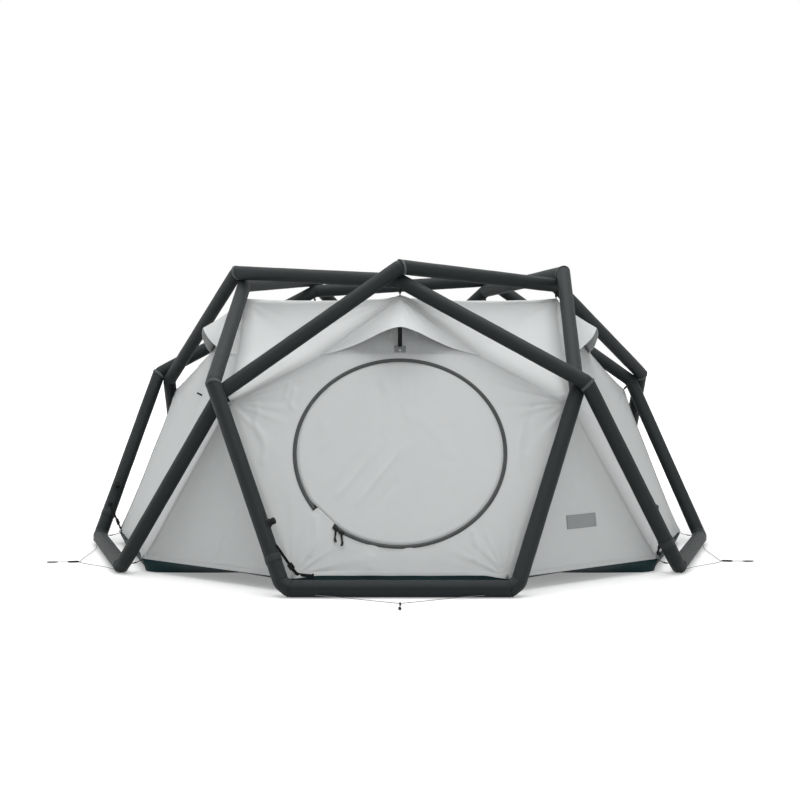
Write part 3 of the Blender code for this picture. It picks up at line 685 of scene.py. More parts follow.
def carried_frames(place, start, side0, up0):
    """Side and up carried along the stations without twist, from one station both ways."""
    runs = unit(np.gradient(place, axis=0))
    side, up = np.zeros_like(place), np.zeros_like(place)
    side[start], up[start] = side0, up0
    for order in (range(start + 1, len(place)), range(start - 1, -1, -1)):
        for n in order:
            m = n - 1 if order.step > 0 else n + 1
            s = side[m] - runs[n] * side[m].dot(runs[n])
            side[n] = s / np.linalg.norm(s)
            up[n] = np.cross(side[n], runs[n])
            if up[n].dot(up[m]) < 0:
                up[n] = -up[n]
    return side, up


tube_sides = 40


def chamber_mesh(fold, slim, wide, sides, detail=True):
    points = chamber_points(fold)
    place, radius, along = stations(points, wide, slim)
    base = unit(np.array(points[3] - points[2]))
    middle = np.array((points[2] + points[3]) / 2)
    start = int(np.argmin(np.linalg.norm(place - middle, axis=1)))
    side0 = np.cross(base, (0, 0, 1.0))
    side, up = carried_frames(place, start, side0, np.array((0, 0, 1.0)))
    turn = np.arange(sides) * 2 * pi / sides + radians(8) - pi / sides * .6
    radial = (np.cos(turn)[None, :, None] * side[:, None, :]
              + np.sin(turn)[None, :, None] * up[:, None, :])
    reach = np.repeat(radius[:, None], sides, 1)
    if detail:
        corners = [np.array(p) for p in points]
        for n in range(1, len(corners) - 1):
            a, b = unit(corners[n] - corners[n - 1]), unit(corners[n + 1] - corners[n])
            inner = unit(b - a)
            x = (place - corners[n]) @ unit(a + b)
            near = np.linalg.norm(place - corners[n], axis=1) < .12
            face = np.clip(radial @ inner, 0, 1)
            fold_in = (.0016 * np.cos(2 * pi * x / .013) * np.exp(-(x / .020) ** 2))[:, None]
            reach -= np.where(near[:, None], (fold_in + .0006) * face ** 2
                              * np.exp(-(x / .03) ** 2)[:, None], 0)
            reach -= np.where(near[:, None], (.0007 * np.exp(-(x / .0035) ** 2))[:, None], 0)
        slow = .00022 * np.sin(along[:, None] * 23 + 2 * turn[None, :] + fold)
        slow += .00016 * np.sin(along[:, None] * 61 - 3 * turn[None, :] + 2 * fold)
        reach += slow
        gap = (turn - radians(8) + pi) % (2 * pi) - pi
        crease = np.where(gap > 0, .0009 * np.exp(-gap / .35), -.0007 * np.exp(gap / .25))
        on_base = np.clip((.055 - place[:, 2]) / .01, 0, 1)[:, None]
        fold_over = np.where(gap > 0, .0016 * np.exp(-gap / .40), -.0022 * np.exp(gap / .35))
        reach += crease[None, :] + on_base * fold_over[None, :]
    verts = place[:, None, :] + radial * reach[:, :, None]
    verts[:, :, 2] = np.maximum(verts[:, :, 2], .0006)
    around = turn * tube_radius
    uv = np.stack(np.meshgrid(around, along), -1)
    return points, verts, uv


def open_tube(name, verts, uv, wall):
    """Closed wall between the outer rows and the same rows drawn in, open at both ends."""
    n, m = verts.shape[:2]
    centre = verts.mean(1, keepdims=True)
    inner = centre + (verts - centre) * (1 - wall / tube_radius)
    rows = np.concatenate([verts, inner[::-1]])
    flat = np.concatenate([uv, uv[::-1]])
    item = mesh_object(name, rows.reshape(-1, 3), grid_faces(2 * n, m, True, True),
                       flat.reshape(-1, 2))
    return item


def mitre_band(points, n, shift, width, radius, proud=.0011, sides=48):
    """Sewn ring round a tube in the plane of a bend, or square to it at a free point."""
    p = np.array(points[n])
    a = unit(p - np.array(points[n - 1]))
    b = unit(np.array(points[n + 1]) - p) if n + 1 < len(points) else a
    normal = unit(a + b)
    run = b if shift >= 0 else a
    side = unit(np.cross(run, (0.31, 0.22, .93)))
    up = np.cross(side, run)
    turn = np.arange(sides) * 2 * pi / sides
    radial = np.cos(turn)[:, None] * side + np.sin(turn)[:, None] * up
    rows = []
    for s, r in ((0, -.0010), (.0006, proud * .7), (.002, proud), (.5, proud * 1.05), (-.002, proud),
                 (-.0006, proud * .7), (0, -.0010)):
        at = shift + (s if s >= 0 and s < .4 else width * .5 if s == .5 else width + s)
        if len(rows) == 6:
            at = shift + width
        offset = radial * (radius + r)
        skew = (offset @ normal)[:, None] / (run @ normal)
        rows.append(p + run * at + offset - run * skew)
    rows = np.array(rows)
    m, n_rows = sides, len(rows)
    uv = np.stack(np.meshgrid(turn * radius, np.linspace(0, width, n_rows)), -1)
    verts = rows.reshape(-1, 3)
    verts[:, 2] = np.maximum(verts[:, 2], .0005)
    faces = grid_faces(n_rows, m, True, True)
    item = mesh_object("band", verts, faces, uv.reshape(-1, 2))
    fix_normals(item)
    return item


for fold in range(fold_count):
    points, verts, uv = chamber_mesh(fold, tube_radius, base_tube_radius, tube_sides)
    sleeve = open_tube(f"sleeve_{fold + 1}", verts, uv, .0012)
    fix_normals(sleeve)
    sleeve.data.materials.append(tube_look)
    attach(sleeve, "tent")
    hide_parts(f"frame_sleeve_{fold + 1}")

    _, verts, uv = chamber_mesh(fold, tube_radius - .0050, base_tube_radius - .0056, 16, False)
    film_tube = open_tube(f"bladder_{fold + 1}", verts, uv, .0008)
    fix_normals(film_tube)
    film_tube.data.materials.append(film_look)
    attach(film_tube, "tent")
    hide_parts(f"air_bladder_{fold + 1}")

    rings = [mitre_band(points, 6, .002, .014, tube_radius, .0014),
             mitre_band(points, 8, .002, .014, tube_radius, .0014)]
    for n in (2, 3):
        rings.append(mitre_band(points, n, -.0020, .004, base_tube_radius, .0006))
    for ring, look in zip(rings, (band_look, band_look, tube_look, tube_look)):
        ring.data.materials.append(look)
    bands = join(f"seam_rings_{fold + 1}", rings)
    bands.data.polygons.foreach_set("use_smooth", [True] * len(bands.data.polygons))
    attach(bands, "tent")

    cuff = mitre_band(points, 9, -cuff_length - .001, cuff_length + .001, tube_radius, .0019)
    cuff.name = f"cuff_{fold + 1}"
    cuff.data.materials.append(cuff_look)
    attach(cuff, "tent")


# Fly: one sheet from hem to hem, with its doorway

edge_steps = 72
ring_steps = 40


def edge_points(a, b, steps):
    a, b = np.array(a), np.array(b)
    return [a + (b - a) * n / steps for n in range(steps)]


def door_point(grow, angle_deg, rise=0.0):
    turn = radians(angle_deg)
    return on_panel(-(door_half_width + grow) * sin(turn),
                    door_drop + (door_half_height + grow) * cos(turn), rise)


def panel_place(point, fold=0):
    """Side and drop of a world point on a five-sided panel."""
    local = turned(point, -fold) - fly_top(0)
    return local.dot(across), local.dot(down_slope)


chord_a = np.array(panel_place(door_point(-zip_width / 2, uncut_from)))
chord_b = np.array(panel_place(door_point(-zip_width / 2, uncut_to)))


tape_width = .017


def zip_shift(angle_deg):
    """How far the zip's middle line lies outside the ellipse, all within the solid tape."""
    angle = angle_deg % 360
    return -.0038 * cos(2 * radians(angle)) + .0028 * exp(-((angle - 50) / 18) ** 2)


def hole_reach(dx, dy, grow, snug=0.0):
    """Distance from the door's middle to a line beside the zip along a direction."""
    angle = degrees(atan2(-dx / door_half_width, dy / door_half_height)) % 360
    wide = grow + zip_shift(angle)
    beside = max(uncut_from - angle, angle - uncut_to, 0)
    wide += (-zip_width / 2 - .0004 - wide) * snug * exp(-(beside / 3) ** 2)
    reach = 1 / sqrt((dx / (door_half_width + wide)) ** 2 + (dy / (door_half_height + wide)) ** 2)
    if uncut_from < angle < uncut_to:
        start = chord_a - np.array((0, door_drop))
        along = chord_b - chord_a
        reach = (start[0] * along[1] - start[1] * along[0]) / (dx * along[1] - dy * along[0])
    return reach


def canopy_sheet():
    verts, faces = [], []

    def ring_patch(corners, centre=None, count=ring_steps):
        boundary = []
        for a, b in zip(corners, corners[1:] + corners[:1]):
            boundary += edge_points(a, b, edge_steps)
        total = len(boundary)
        start = len(verts)
        if centre is None:
            inner = []
            for p in boundary:
                side, drop = panel_place(Vector(p))
                dx, dy = side, drop - door_drop
                size = sqrt(dx * dx + dy * dy)
                dx, dy = dx / size, dy / size
                reach = hole_reach(dx, dy, .0055)
                inner.append(np.array(on_panel(dx * reach, door_drop + dy * reach)))
            last = count
        else:
            inner = [np.array(centre)] * total
            last = count - 1
        for n in range(last + 1):
            share = n / count
            if centre is None:
                share = share ** .9
            for p, q in zip(boundary, inner):
                verts.append(p + (q - p) * share)
        for n in range(last):
            for c in range(total):
                c2 = (c + 1) % total
                faces.append((start + n * total + c, start + n * total + c2,
                              start + (n + 1) * total + c2, start + (n + 1) * total + c))
        if centre is not None:
            verts.append(np.array(centre))
            hub = len(verts) - 1
            for c in range(total):
                faces.append((start + last * total + c, start + last * total + (c + 1) % total,
                              hub))

    def triangle_patch(a, b, c):
        a, b, c = (np.array(p) for p in (a, b, c))
        start, rows = len(verts), []
        for i in range(edge_steps + 1):
            row = []
            for j in range(edge_steps + 1 - i):
                verts.append(a + (b - a) * i / edge_steps + (c - a) * j / edge_steps)
                row.append(len(verts) - 1)
            rows.append(row)
        for i in range(edge_steps):
            for j in range(edge_steps - i):
                faces.append((rows[i][j], rows[i + 1][j], rows[i][j + 1]))
                if j < edge_steps - i - 1:
                    faces.append((rows[i + 1][j], rows[i + 1][j + 1], rows[i][j + 1]))

    ring_patch([fly_top(k) for k in range(5)], Vector((0, 0, fly_top_height)), count=14)
    for k in range(5):
        triangle_patch(fly_top(k), fly_top(k + 1), fly_mid(k))
        triangle_patch(fly_mid(k), fly_hem(k, 1), fly_hem(k + 1, -1))
        corners = [fly_top(k), fly_mid(k - 1), fly_hem(k, -1), fly_hem(k, 1), fly_mid(k)]
        ring_patch(corners, None if k == 0 else on_panel(0, .70, 0, k))
    work = bmesh.new()
    made = [work.verts.new(v) for v in verts]
    for face in faces:
        work.faces.new([made[i] for i in face])
    bmesh.ops.remove_doubles(work, verts=work.verts, dist=.0004)
    bmesh.ops.recalc_face_normals(work, faces=work.faces)
    work.faces.ensure_lookup_table()
    top = max(work.faces, key=lambda f: f.calc_center_median().z)
    if top.normal.z < 0:
        bmesh.ops.reverse_faces(work, faces=work.faces)
    data = bpy.data.meshes.new("fly_sheet")
    work.to_mesh(data)
    work.free()
    return data


data = canopy_sheet()
count = len(data.vertices)
rest = np.empty(count * 3)
data.vertices.foreach_get("co", rest)
rest = rest.reshape(-1, 3)
edges = np.empty(len(data.edges) * 2, int)
data.edges.foreach_get("vertices", edges)
edges = edges.reshape(-1, 2)
both = np.concatenate([edges, edges[:, ::-1]])
degree = np.bincount(both[:, 0], minlength=count)


def smoothed(values, times, share=1.0):
    for _ in range(times):
        total = np.stack([np.bincount(both[:, 0], values[both[:, 1], k], count)
                          for k in range(values.shape[1])], 1)
        values = values + share * (total / degree[:, None] - values)
    return values


def front_place(points):
    """Side, drop and rise of world points on the front panel."""
    local = points - np.array(fly_top(0))
    return local @ np.array(across), local @ np.array(down_slope), local @ np.array(outward)


def shares_of(points, a, b, c):
    """Shares of three corners for points in their plane, zero away from the triangle."""
    u, v = b - a, c - a
    local = points - a
    pair = np.stack([local @ u, local @ v], 1) @ np.linalg.inv([[u @ u, u @ v], [u @ v, v @ v]])
    part = np.stack([1 - pair.sum(1), pair[:, 0], pair[:, 1]], 1)
    inside = (np.abs(local @ unit(np.cross(u, v))) < .002) & (part.min(1) > -.001)
    return part * inside[:, None]


# The ridge beside each hood bends in to the hood's lower corner
ridge_foot = np.array(panel_place(fly_mid(0)))
ridge_length = np.linalg.norm(ridge_foot)
ridge_run = ridge_foot / ridge_length
bend_at = hood_side_drop / ridge_foot[1]
bend_in = ridge_foot[0] * bend_at - hood_half_width
bend_sink, bend_reach = .012, .10


def along_ridge(t):
    return np.clip(np.minimum(t / bend_at, (1 - t) / (1 - bend_at)), 0, 1)


def ridge_bend(side, drop):
    """Share of the bend that reaches a place on a panel, 1 at the hood's lower corner."""
    side = np.abs(side)
    t = (side * ridge_run[0] + drop * ridge_run[1]) / ridge_length
    inside = drop * ridge_run[0] - side * ridge_run[1]
    return along_ridge(t) * np.exp(-(inside / bend_reach) ** 2)


hem_lift, lift_reach = .0145, .15
mids = np.array([tuple(fly_mid(k)) for k in range(5)])


def lifted(points):
    """Cloth near the hem drawn up within its own faces, towards the mid corners."""
    azimuth = np.arctan2(points[:, 0], -points[:, 1])
    fold = np.round(azimuth / fold_angle).astype(int)
    side = np.hypot(points[:, 0], points[:, 1]) * np.sin(azimuth - fold * fold_angle)
    share = np.clip(side / (fly_hem_radius * sin(corner_angle)), -1, 1)
    move = np.zeros_like(points)
    for sign in (-1, 1):
        aim = mids[(fold + (sign - 1) // 2) % 5] - points
        move += aim / np.maximum(aim[:, 2:], .3) * ((1 + sign * share) / 2)[:, None]
    near = np.clip(1 - (points[:, 2] - fly_hem_height) / lift_reach, 0, 1) ** 1.5
    inner = np.clip((1 - np.abs(share)) / .25, 0, 1)
    near *= .2 + .8 * inner * inner * (3 - 2 * inner)
    return move * (hem_lift * near)[:, None]


normals = np.empty(count * 3)
data.vertices.foreach_get("normal", normals)
normals = unit(smoothed(normals.reshape(-1, 3), 12))
hangs = [fly_top(k) for k in range(5)] + [fly_mid(k) for k in range(5)]
hangs += [fly_hem(k, s) for k in range(5) for s in (-1, 1)]
hangs = np.array([tuple(p) for p in hangs])
free = np.ones(count)
for spot in hangs:
    away = np.linalg.norm(rest - spot, axis=1)
    free *= 1 - np.exp(-(away / .07) ** 2)
x, y, z = front_place(rest)
round_door = np.sqrt((x / door_half_width) ** 2 + ((y - door_drop) / door_half_height) ** 2)
on_front = (np.abs(z) < .002) & (rest[:, 1] < 0)
past = np.where(on_front, (round_door - 1) * .42, 1.0)
calm = np.clip((past - .014) / .10, 0, 1)
calm = calm * calm * (3 - 2 * calm)
hem_share = np.clip((rest[:, 2] - fly_hem_height) / .12, 0, 1)
free *= calm * (.25 + .75 * hem_share)
bent = rest + lifted(rest)
for k in hood_names:
    local = rest - np.array(fly_top(k))
    side = local @ np.array(turned(across, k))
    drop = local @ np.array(turned(down_slope, k))
    flat = np.abs(local @ np.array(turned(outward, k))) < .002
    for sign in (-1, 1):
        corners = fly_top(k), fly_top(k + sign), fly_mid(k + (sign - 1) // 2)
        part = shares_of(rest, *(np.array(c) for c in corners))
        held = part[:, 0] + part[:, 2]
        upper = along_ridge(part[:, 2] / np.maximum(held, 1e-6)) * held
        lower = np.where(flat & (side * sign > 0), ridge_bend(side, drop) * calm, 0)
        step = turned(across * (-sign * bend_in) - outward * bend_sink, k)
        bent += np.maximum(upper, lower)[:, None] * np.array(step)
for k in range(5):
    away = np.linalg.norm(rest - np.array(fly_top(k)), axis=1)
    bent[:, 2] += .009 * np.exp(-(away / .075) ** 2)
    middle = np.array((fly_top(k) + fly_top(k + 1)) / 2)
    bent[:, 2] -= .007 * np.exp(-(np.linalg.norm(rest - middle, axis=1) / .22) ** 2)
shape = bent.copy()
for _ in range(6):
    total = np.stack([np.bincount(both[:, 0], shape[both[:, 1], k], count) for k in range(3)], 1)
    shape += (total / degree[:, None] - shape) * free[:, None]
moved = ((shape - bent) * normals).sum(1)

# Slack in the middle of the unsupported faces, least where the cloth is pulled tight
spread = np.zeros(count)
for k in range(1, 5):
    middle = np.array(on_panel(0, .66, 0, k))
    away = np.linalg.norm(rest - middle, axis=1)
    spread += np.exp(-(away / .36) ** 2)
moved -= .005 * spread * calm

# Tension folds that fan out from every hung point
for n, spot in enumerate(hangs):
    aim = unit(spot - np.array((0, 0, .55)))
    e1 = unit(np.cross(aim, (0, 0, 1.0)))
    e2 = np.cross(aim, e1)
    local = rest - spot
    away = np.linalg.norm(local, axis=1)
    turn = np.arctan2(local @ e2, local @ e1)
    size = .0036 if n < 10 else .0026
    fan = np.sin(17 * turn + 1.7 * np.sin(3 * turn + n) + n * 1.3)
    fan += .5 * np.sin(29 * turn + n * 2.1)
    moved += size * fan * np.exp(-away / .17) * np.clip(away / .05, 0, 1) * calm

# Loose upright folds above the hem of the five-sided panels
for k in range(5):
    local = (rest - np.array(fly_top(k))) @ np.array(turned(across, k))
    depth = (rest - np.array(fly_top(k))) @ np.array(turned(down_slope, k))
    here = np.abs((rest - np.array(fly_top(k))) @ np.array(turned(outward, k))) < .004
    wave = np.sin(local * 34 + 1.2 * np.sin(local * 9 + k)) * np.exp(-((depth - 1.20) / .11) ** 2)
    moved += np.where(here, .0016 * wave * np.clip((.40 - np.abs(local)) / .1, 0, 1), 0)
    drift = np.sin(local * 21 + 2.1 * np.sin(depth * 4.1 + k)) * np.sin(depth * 7.3 + local * 5 + k)
    moved += np.where(here, .0016 * drift * calm, 0)


def crease(points, path, depth, width):
    """Soft fold along a smooth path through a few places on the cloth."""
    best = np.full(len(points), 9.0)
    line = catmull(path, 4)
    for start, end in zip(line, line[1:]):
        a, run = np.array(start), np.array(end - start)
        t = np.clip((points - a) @ run / (run @ run), 0, 1)
        best = np.minimum(best, np.linalg.norm(points - a - t[:, None] * run, axis=1))
    return depth * np.exp(-(best / width) ** 2)


def on_corner(side, height, fold):
    """Place on the lower triangle that follows a fold, by side and height."""
    top, low = fly_mid(fold), (fly_hem(fold, 1) + fly_hem(fold + 1, -1)) / 2
    along = (fly_hem(fold + 1, -1) - fly_hem(fold, 1)).normalized()
    return top + (low - top) * ((top.z - height) / (top.z - low.z)) + along * side


panel_creases = [
    (((-.612, .500), (-.598, .545), (-.606, .585), (-.580, .640)), 0, .0045, .012),
    (((-.470, .420), (-.456, .455), (-.464, .490), (-.452, .515)), 0, .0042, .011),
    (((-.500, .400), (-.488, .430), (-.494, .470)), 0, .0030, .010),
    (((-.640, .470), (-.560, .450), (-.500, .430)), 0, .0035, .014),
    (((-.575, .640), (-.560, .700), (-.566, .760)), 0, .0040, .013),
    (((.560, .520), (.535, .600), (.530, .700)), 0, -.0045, .014),
    (((.500, .640), (.490, .700), (.496, .780)), 0, .0032, .012),
    (((-.36, 1.16), (-.34, 1.08), (-.345, 1.0)), 0, .0035, .012),
    (((.30, 1.18), (.31, 1.12), (.295, 1.06)), 0, .0030, .012),
    (((-.12, 1.22), (-.115, 1.17)), 0, .0028, .011),
    (((.05, .52), (.04, .66), (.055, .80)), 4, .0040, .014),
    (((-.06, .52), (-.04, .66), (-.055, .80)), 1, .0040, .014),
]
for route, fold, depth, width in panel_creases:
    moved += crease(rest, [on_panel(a, b, 0, fold) for a, b in route], depth, width)
corner_creases = [
    (((.10, .302), (.04, .19), (0, .079)), 4, .0045, .011),
    (((-.05, .42), (-.02, .34), (-.03, .27)), 0, .0030, .012),
]
for route, fold, depth, width in corner_creases:
    moved += crease(rest, [on_corner(s, h, fold) for s, h in route], depth, width)

# The cloth lies flat where a hood's prop folds down on it
for k in hood_names:
    away = np.linalg.norm(rest - np.array(on_panel(0, prop_foot_drop, 0, k)), axis=1)
    moved *= 1 - .95 * np.exp(-(away / .05) ** 2)

moved = np.minimum(moved, .0075)
final = bent + normals * moved[:, None]
data.vertices.foreach_set("co", final.ravel())

# Weave direction: each polygon is laid out in the plane of the panel that it belongs to
panel_normals = [np.array((0, 0, 1.0))]
for k in range(5):
    panel_normals.append(np.array(turned(outward, k)))
    for a, b, c in ((fly_top(k), fly_top(k + 1), fly_mid(k)),
                    (fly_mid(k), fly_hem(k, 1), fly_hem(k + 1, -1))):
        n = np.array((b - a).cross(c - a).normalized())
        panel_normals.append(n if n @ np.array(a) > 0 else -n)
panel_normals = np.array(panel_normals)
starts = np.empty(len(data.polygons), int)
totals = np.empty(len(data.polygons), int)
data.polygons.foreach_get("loop_start", starts)
data.polygons.foreach_get("loop_total", totals)
loop_vertex = np.empty(len(data.loops), int)
data.loops.foreach_get("vertex_index", loop_vertex)
first = loop_vertex[starts]
face_normal = unit(np.cross(rest[loop_vertex[starts + 1]] - rest[first],
                            rest[loop_vertex[starts + 2]] - rest[first]))
choice = np.argmax(face_normal @ panel_normals.T, 1)
e1 = unit(np.cross(np.where(np.abs(panel_normals[:, 2:]) > .99, (0, 1.0, 0), (0, 0, 1.0)),
                   panel_normals))
e2 = np.cross(panel_normals, e1)
of_loop = np.repeat(choice, totals)
uv = np.stack([(rest[loop_vertex] * way[of_loop]).sum(1) for way in (e1, e2)], 1)
layer = data.uv_layers.new(name="UVMap")
layer.data.foreach_set("uv", uv.ravel())
data.polygons.foreach_set("use_smooth", [True] * len(data.polygons))
data.update()
canopy = bpy.data.objects.new("fly_sheet", data)
scene.collection.objects.link(canopy)
canopy.data.materials.append(fly_look)
thick = canopy.modifiers.new("cloth", "SOLIDIFY")
thick.thickness = .0012
thick.offset = -1
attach(canopy, "tent")
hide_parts("fly_roof", *[f"fly_panel_{n}" for n in side_names.values()],
            *[f"fly_corner_{k + 1}" for k in range(5)])

find = KDTree(count)
for n, spot in enumerate(rest):
    find.insert(spot, n)
find.balance()
shown_normals = np.empty(count * 3)
data.vertices.foreach_get("normal", shown_normals)
shown_normals = unit(shown_normals.reshape(-1, 3))


def on_cloth(target):
    """Place and normal on the finished sheet for a place on the flat fly."""
    near = find.find_n(target, 3)
    weight = np.array([1 / (d + 1e-5) for _, _, d in near])
    weight /= weight.sum()
    index = [i for _, i, _ in near]
    spot = np.array(target) + (weight[:, None] * (final[index] - rest[index])).sum(0)
    return spot, unit((weight[:, None] * shown_normals[index]).sum(0))


def on_sheet(a, b, steps, trim=0.0):
    """Places and normals on the finished sheet along a line drawn on the flat fly."""
    shares = [trim + (1 - 2 * trim) * n / steps for n in range(steps + 1)]
    found = [on_cloth(Vector(a) + (Vector(b) - Vector(a)) * share) for share in shares]
    return np.array([spot for spot, _ in found]), np.array([up for _, up in found])


def seam(name, a, b, width=.012, rise=.0003, steps=72, trim=0.0):
    spots, ups = on_sheet(a, b, steps, trim)
    return sweep(name, spots + ups * rise, flat_section(width, .0008), look=seam_look, ups=ups)


strips = []
for k in range(5):
    for a, b in ((fly_top(k), fly_mid(k)), (fly_top(k + 1), fly_mid(k)),
                 (fly_mid(k), fly_hem(k, 1)), (fly_mid(k), fly_hem(k + 1, -1))):
        strips.append(seam("strip", a, b, trim=.012))
seams = join("fly_seams", strips)
seams.data.polygons.foreach_set("use_smooth", [True] * len(seams.data.polygons))
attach(seams, "tent")

hem_strips = []
for k in range(5):
    for a, b in ((fly_hem(k, -1), fly_hem(k, 1)), (fly_hem(k, 1), fly_hem(k + 1, -1))):
        lift = Vector((0, 0, .009))
        hem_strips.append(seam("hem", a + lift, b + lift, .018, .0005, trim=.004))
hems = join("fly_hem_band", hem_strips)
hems.data.polygons.foreach_set("use_smooth", [True] * len(hems.data.polygons))
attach(hems, "tent")


# Door leaf and zip

def door_leaf():
    rows, columns = 26, 240
    verts, uv = [], []
    for n in range(rows):
        share = 1 - n / rows
        for c in range(columns):
            turn = 2 * pi * c / columns
            dx, dy = -sin(turn), cos(turn)
            reach = hole_reach(dx, dy, -tape_width / 2 - .0003, 1)
            side, drop = dx * reach * share, door_drop + dy * reach * share
            verts.append((side, drop))
            uv.append((side, drop))
    verts.append((0, door_drop))
    uv.append((0, door_drop))
    flat = np.array(verts)
    x, y = flat[:, 0], flat[:, 1] - door_drop
    ring = np.sqrt((x / door_half_width) ** 2 + (y / door_half_height) ** 2)
    edge = np.clip((.975 - ring) / .12, 0, 1)
    edge = edge * edge * (3 - 2 * edge)
    rise = np.full(len(flat), -.0006)
    rise += edge * .0035 * np.sin(2 * x + .6) * np.cos(3 * y)
    places = np.array([tuple(on_panel(a, b)) for a, b in flat])
    for path, depth, width in door_creases:
        rise += crease(places, [on_panel(*p) for p in path], depth, width) * np.clip(edge * 3, 0, 1)
    rise += edge * .0016 * np.sin(26 * (x + .35 * y)) * np.exp(-((y + .10) / .16) ** 2) \
        * np.exp(-((x - .02) / .22) ** 2)
    top = np.exp(-((y + .33) / .08) ** 2)
    rise += edge * top * .0014 * np.sin(70 * x + 2 * np.sin(9 * x))
    points = [on_panel(a, b, r) for (a, b), r in zip(flat, rise)]
    faces = grid_faces(rows, columns, False, True)
    hub = len(points) - 1
    start = (rows - 1) * columns
    faces += [(start + c, start + (c + 1) % columns, hub) for c in range(columns)]
    item = mesh_object("door_cloth", points, faces, uv)
    fix_normals(item)
    data = item.data
    if data.polygons[0].normal.y > 0:
        data.flip_normals()
    item.data.materials.append(door_look)
    thick = item.modifiers.new("cloth", "SOLIDIFY")
    thick.thickness = .0012
    thick.offset = -1
    return item


door_creases = [
    (((-.105, .395), (-.085, .455), (-.098, .505)), -.0030, .010),
    (((.010, .372), (.030, .450), (.018, .520), (.045, .580)), .0036, .012),
    (((-.060, .420), (-.030, .520), (-.065, .640)), .0030, .013),
    (((-.335, .560), (-.300, .640), (-.315, .700)), .0034, .012),
    (((-.170, .940), (-.090, .830), (.020, .690)), .0046, .013),
    (((-.250, .905), (-.160, .790), (-.050, .660)), .0044, .012),
    (((-.285, .860), (-.220, .760), (-.130, .650)), .0036, .012),
    (((-.100, .960), (-.020, .850)), -.0032, .011),
    (((.060, .560), (.150, .640), (.210, .740)), .0028, .014),
    (((.215, .600), (.240, .690), (.230, .760)), -.0022, .012),
]
leaf = door_leaf()
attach(leaf, "door")
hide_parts("door_leaf")


def zip_point(grow, angle, rise=0.0):
    return door_point(grow + zip_shift(angle), angle, rise)


def zip_ring(name, section, grow, look, ends=(uncut_to, uncut_from + 360), steps=420, rise=0.0):
    """Section carried round the door: x runs away from the door's middle, y outward."""
    spots = [np.array(zip_point(grow, ends[0] + (ends[1] - ends[0]) * n / steps, rise))
             for n in range(steps + 1)]
    return sweep(name, spots, section, look=look, ups=[tuple(outward)] * (steps + 1))


tape_section = np.array([(-.0115, -.0006), (-.0108, .0006), (-.0060, .0010), (-.0042, .0012),
                         (-.0034, .0024), (-.0016, .0031), (.0, .0033), (.0016, .0031),
                         (.0034, .0024), (.0042, .0012), (.0060, .0010), (.0108, .0006),
                         (.0115, -.0006), (.0, -.0009)]) * np.array((tape_width / .023, 1.0))
tape = zip_ring("zip_band", tape_section, 0, zip_look)
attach(tape, "tent")
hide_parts("door_zip_tape")

teeth = []
tooth_count = 820
for n in range(tooth_count):
    angle = uncut_to + .4 + (uncut_from + 360 - uncut_to - .8) * n / (tooth_count - 1)
    spot = zip_point(0, angle, .0030)
    next_spot = zip_point(0, angle + .05, .0030)
    run = (next_spot - spot).normalized()
    away = run.cross(outward)
    half = .0031
    for sign in (-1, 1):
        teeth.append((spot + away * half * sign * .5, run, away))
tooth_verts, tooth_faces = [], []
for spot, run, away in teeth:
    start = len(tooth_verts)
    for a, b, c in ((-1, -1, 0), (1, -1, 0), (1, 1, 0), (-1, 1, 0), (-.6, -.7, 1), (.6, -.7, 1),
                    (.6, .7, 1), (-.6, .7, 1)):
        tooth_verts.append(spot + away * a * .0015 + run * b * .0009 + outward * c * .0007)
    for f in ((0, 3, 2, 1), (4, 5, 6, 7), (0, 1, 5, 4), (1, 2, 6, 5), (2, 3, 7, 6), (3, 0, 4, 7)):
        tooth_faces.append([start + i for i in f])
coil = mesh_object("zip_coil_teeth", tooth_verts, tooth_faces, smooth=False)
coil.data.materials.append(coil_look)
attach(coil, "tent")

edge_cloth = zip_ring("zip_binding", flat_section(.0046, .0012), tape_width / 2 + .0014, seam_look,
                      (uncut_to - .2, uncut_from + 360.2), 240, .0002)
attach(edge_cloth, "tent")
uncut_strip = zip_ring("uncut_fold", flat_section(.0030, .0007), -.0100, door_look,
                       (uncut_from + .3, uncut_to - .3), 16, .0004)
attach(uncut_strip, "tent")
stops = []
for angle in (uncut_to + .5, uncut_from - .5):
    spot = zip_point(0, angle, .0026)
    run = (zip_point(0, angle + .1, .0026) - spot).normalized()
    stops.append(rounded_box("stop", (.013, .005, .0022), basis(run.cross(outward), run, outward, spot),
                             black_look, .0006))
end_stops = join("zip_end_stops", stops)
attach(end_stops, "tent")


# Zip sliders and pulls

def slider_seat(which):
    turn = radians(slider_rest[which])
    away = -across * sin(turn) + down_slope * cos(turn)
    hub = on_panel(0, door_drop, zip_proud + .0003)
    return basis(away.cross(outward), away, outward, hub + away * slider_track)


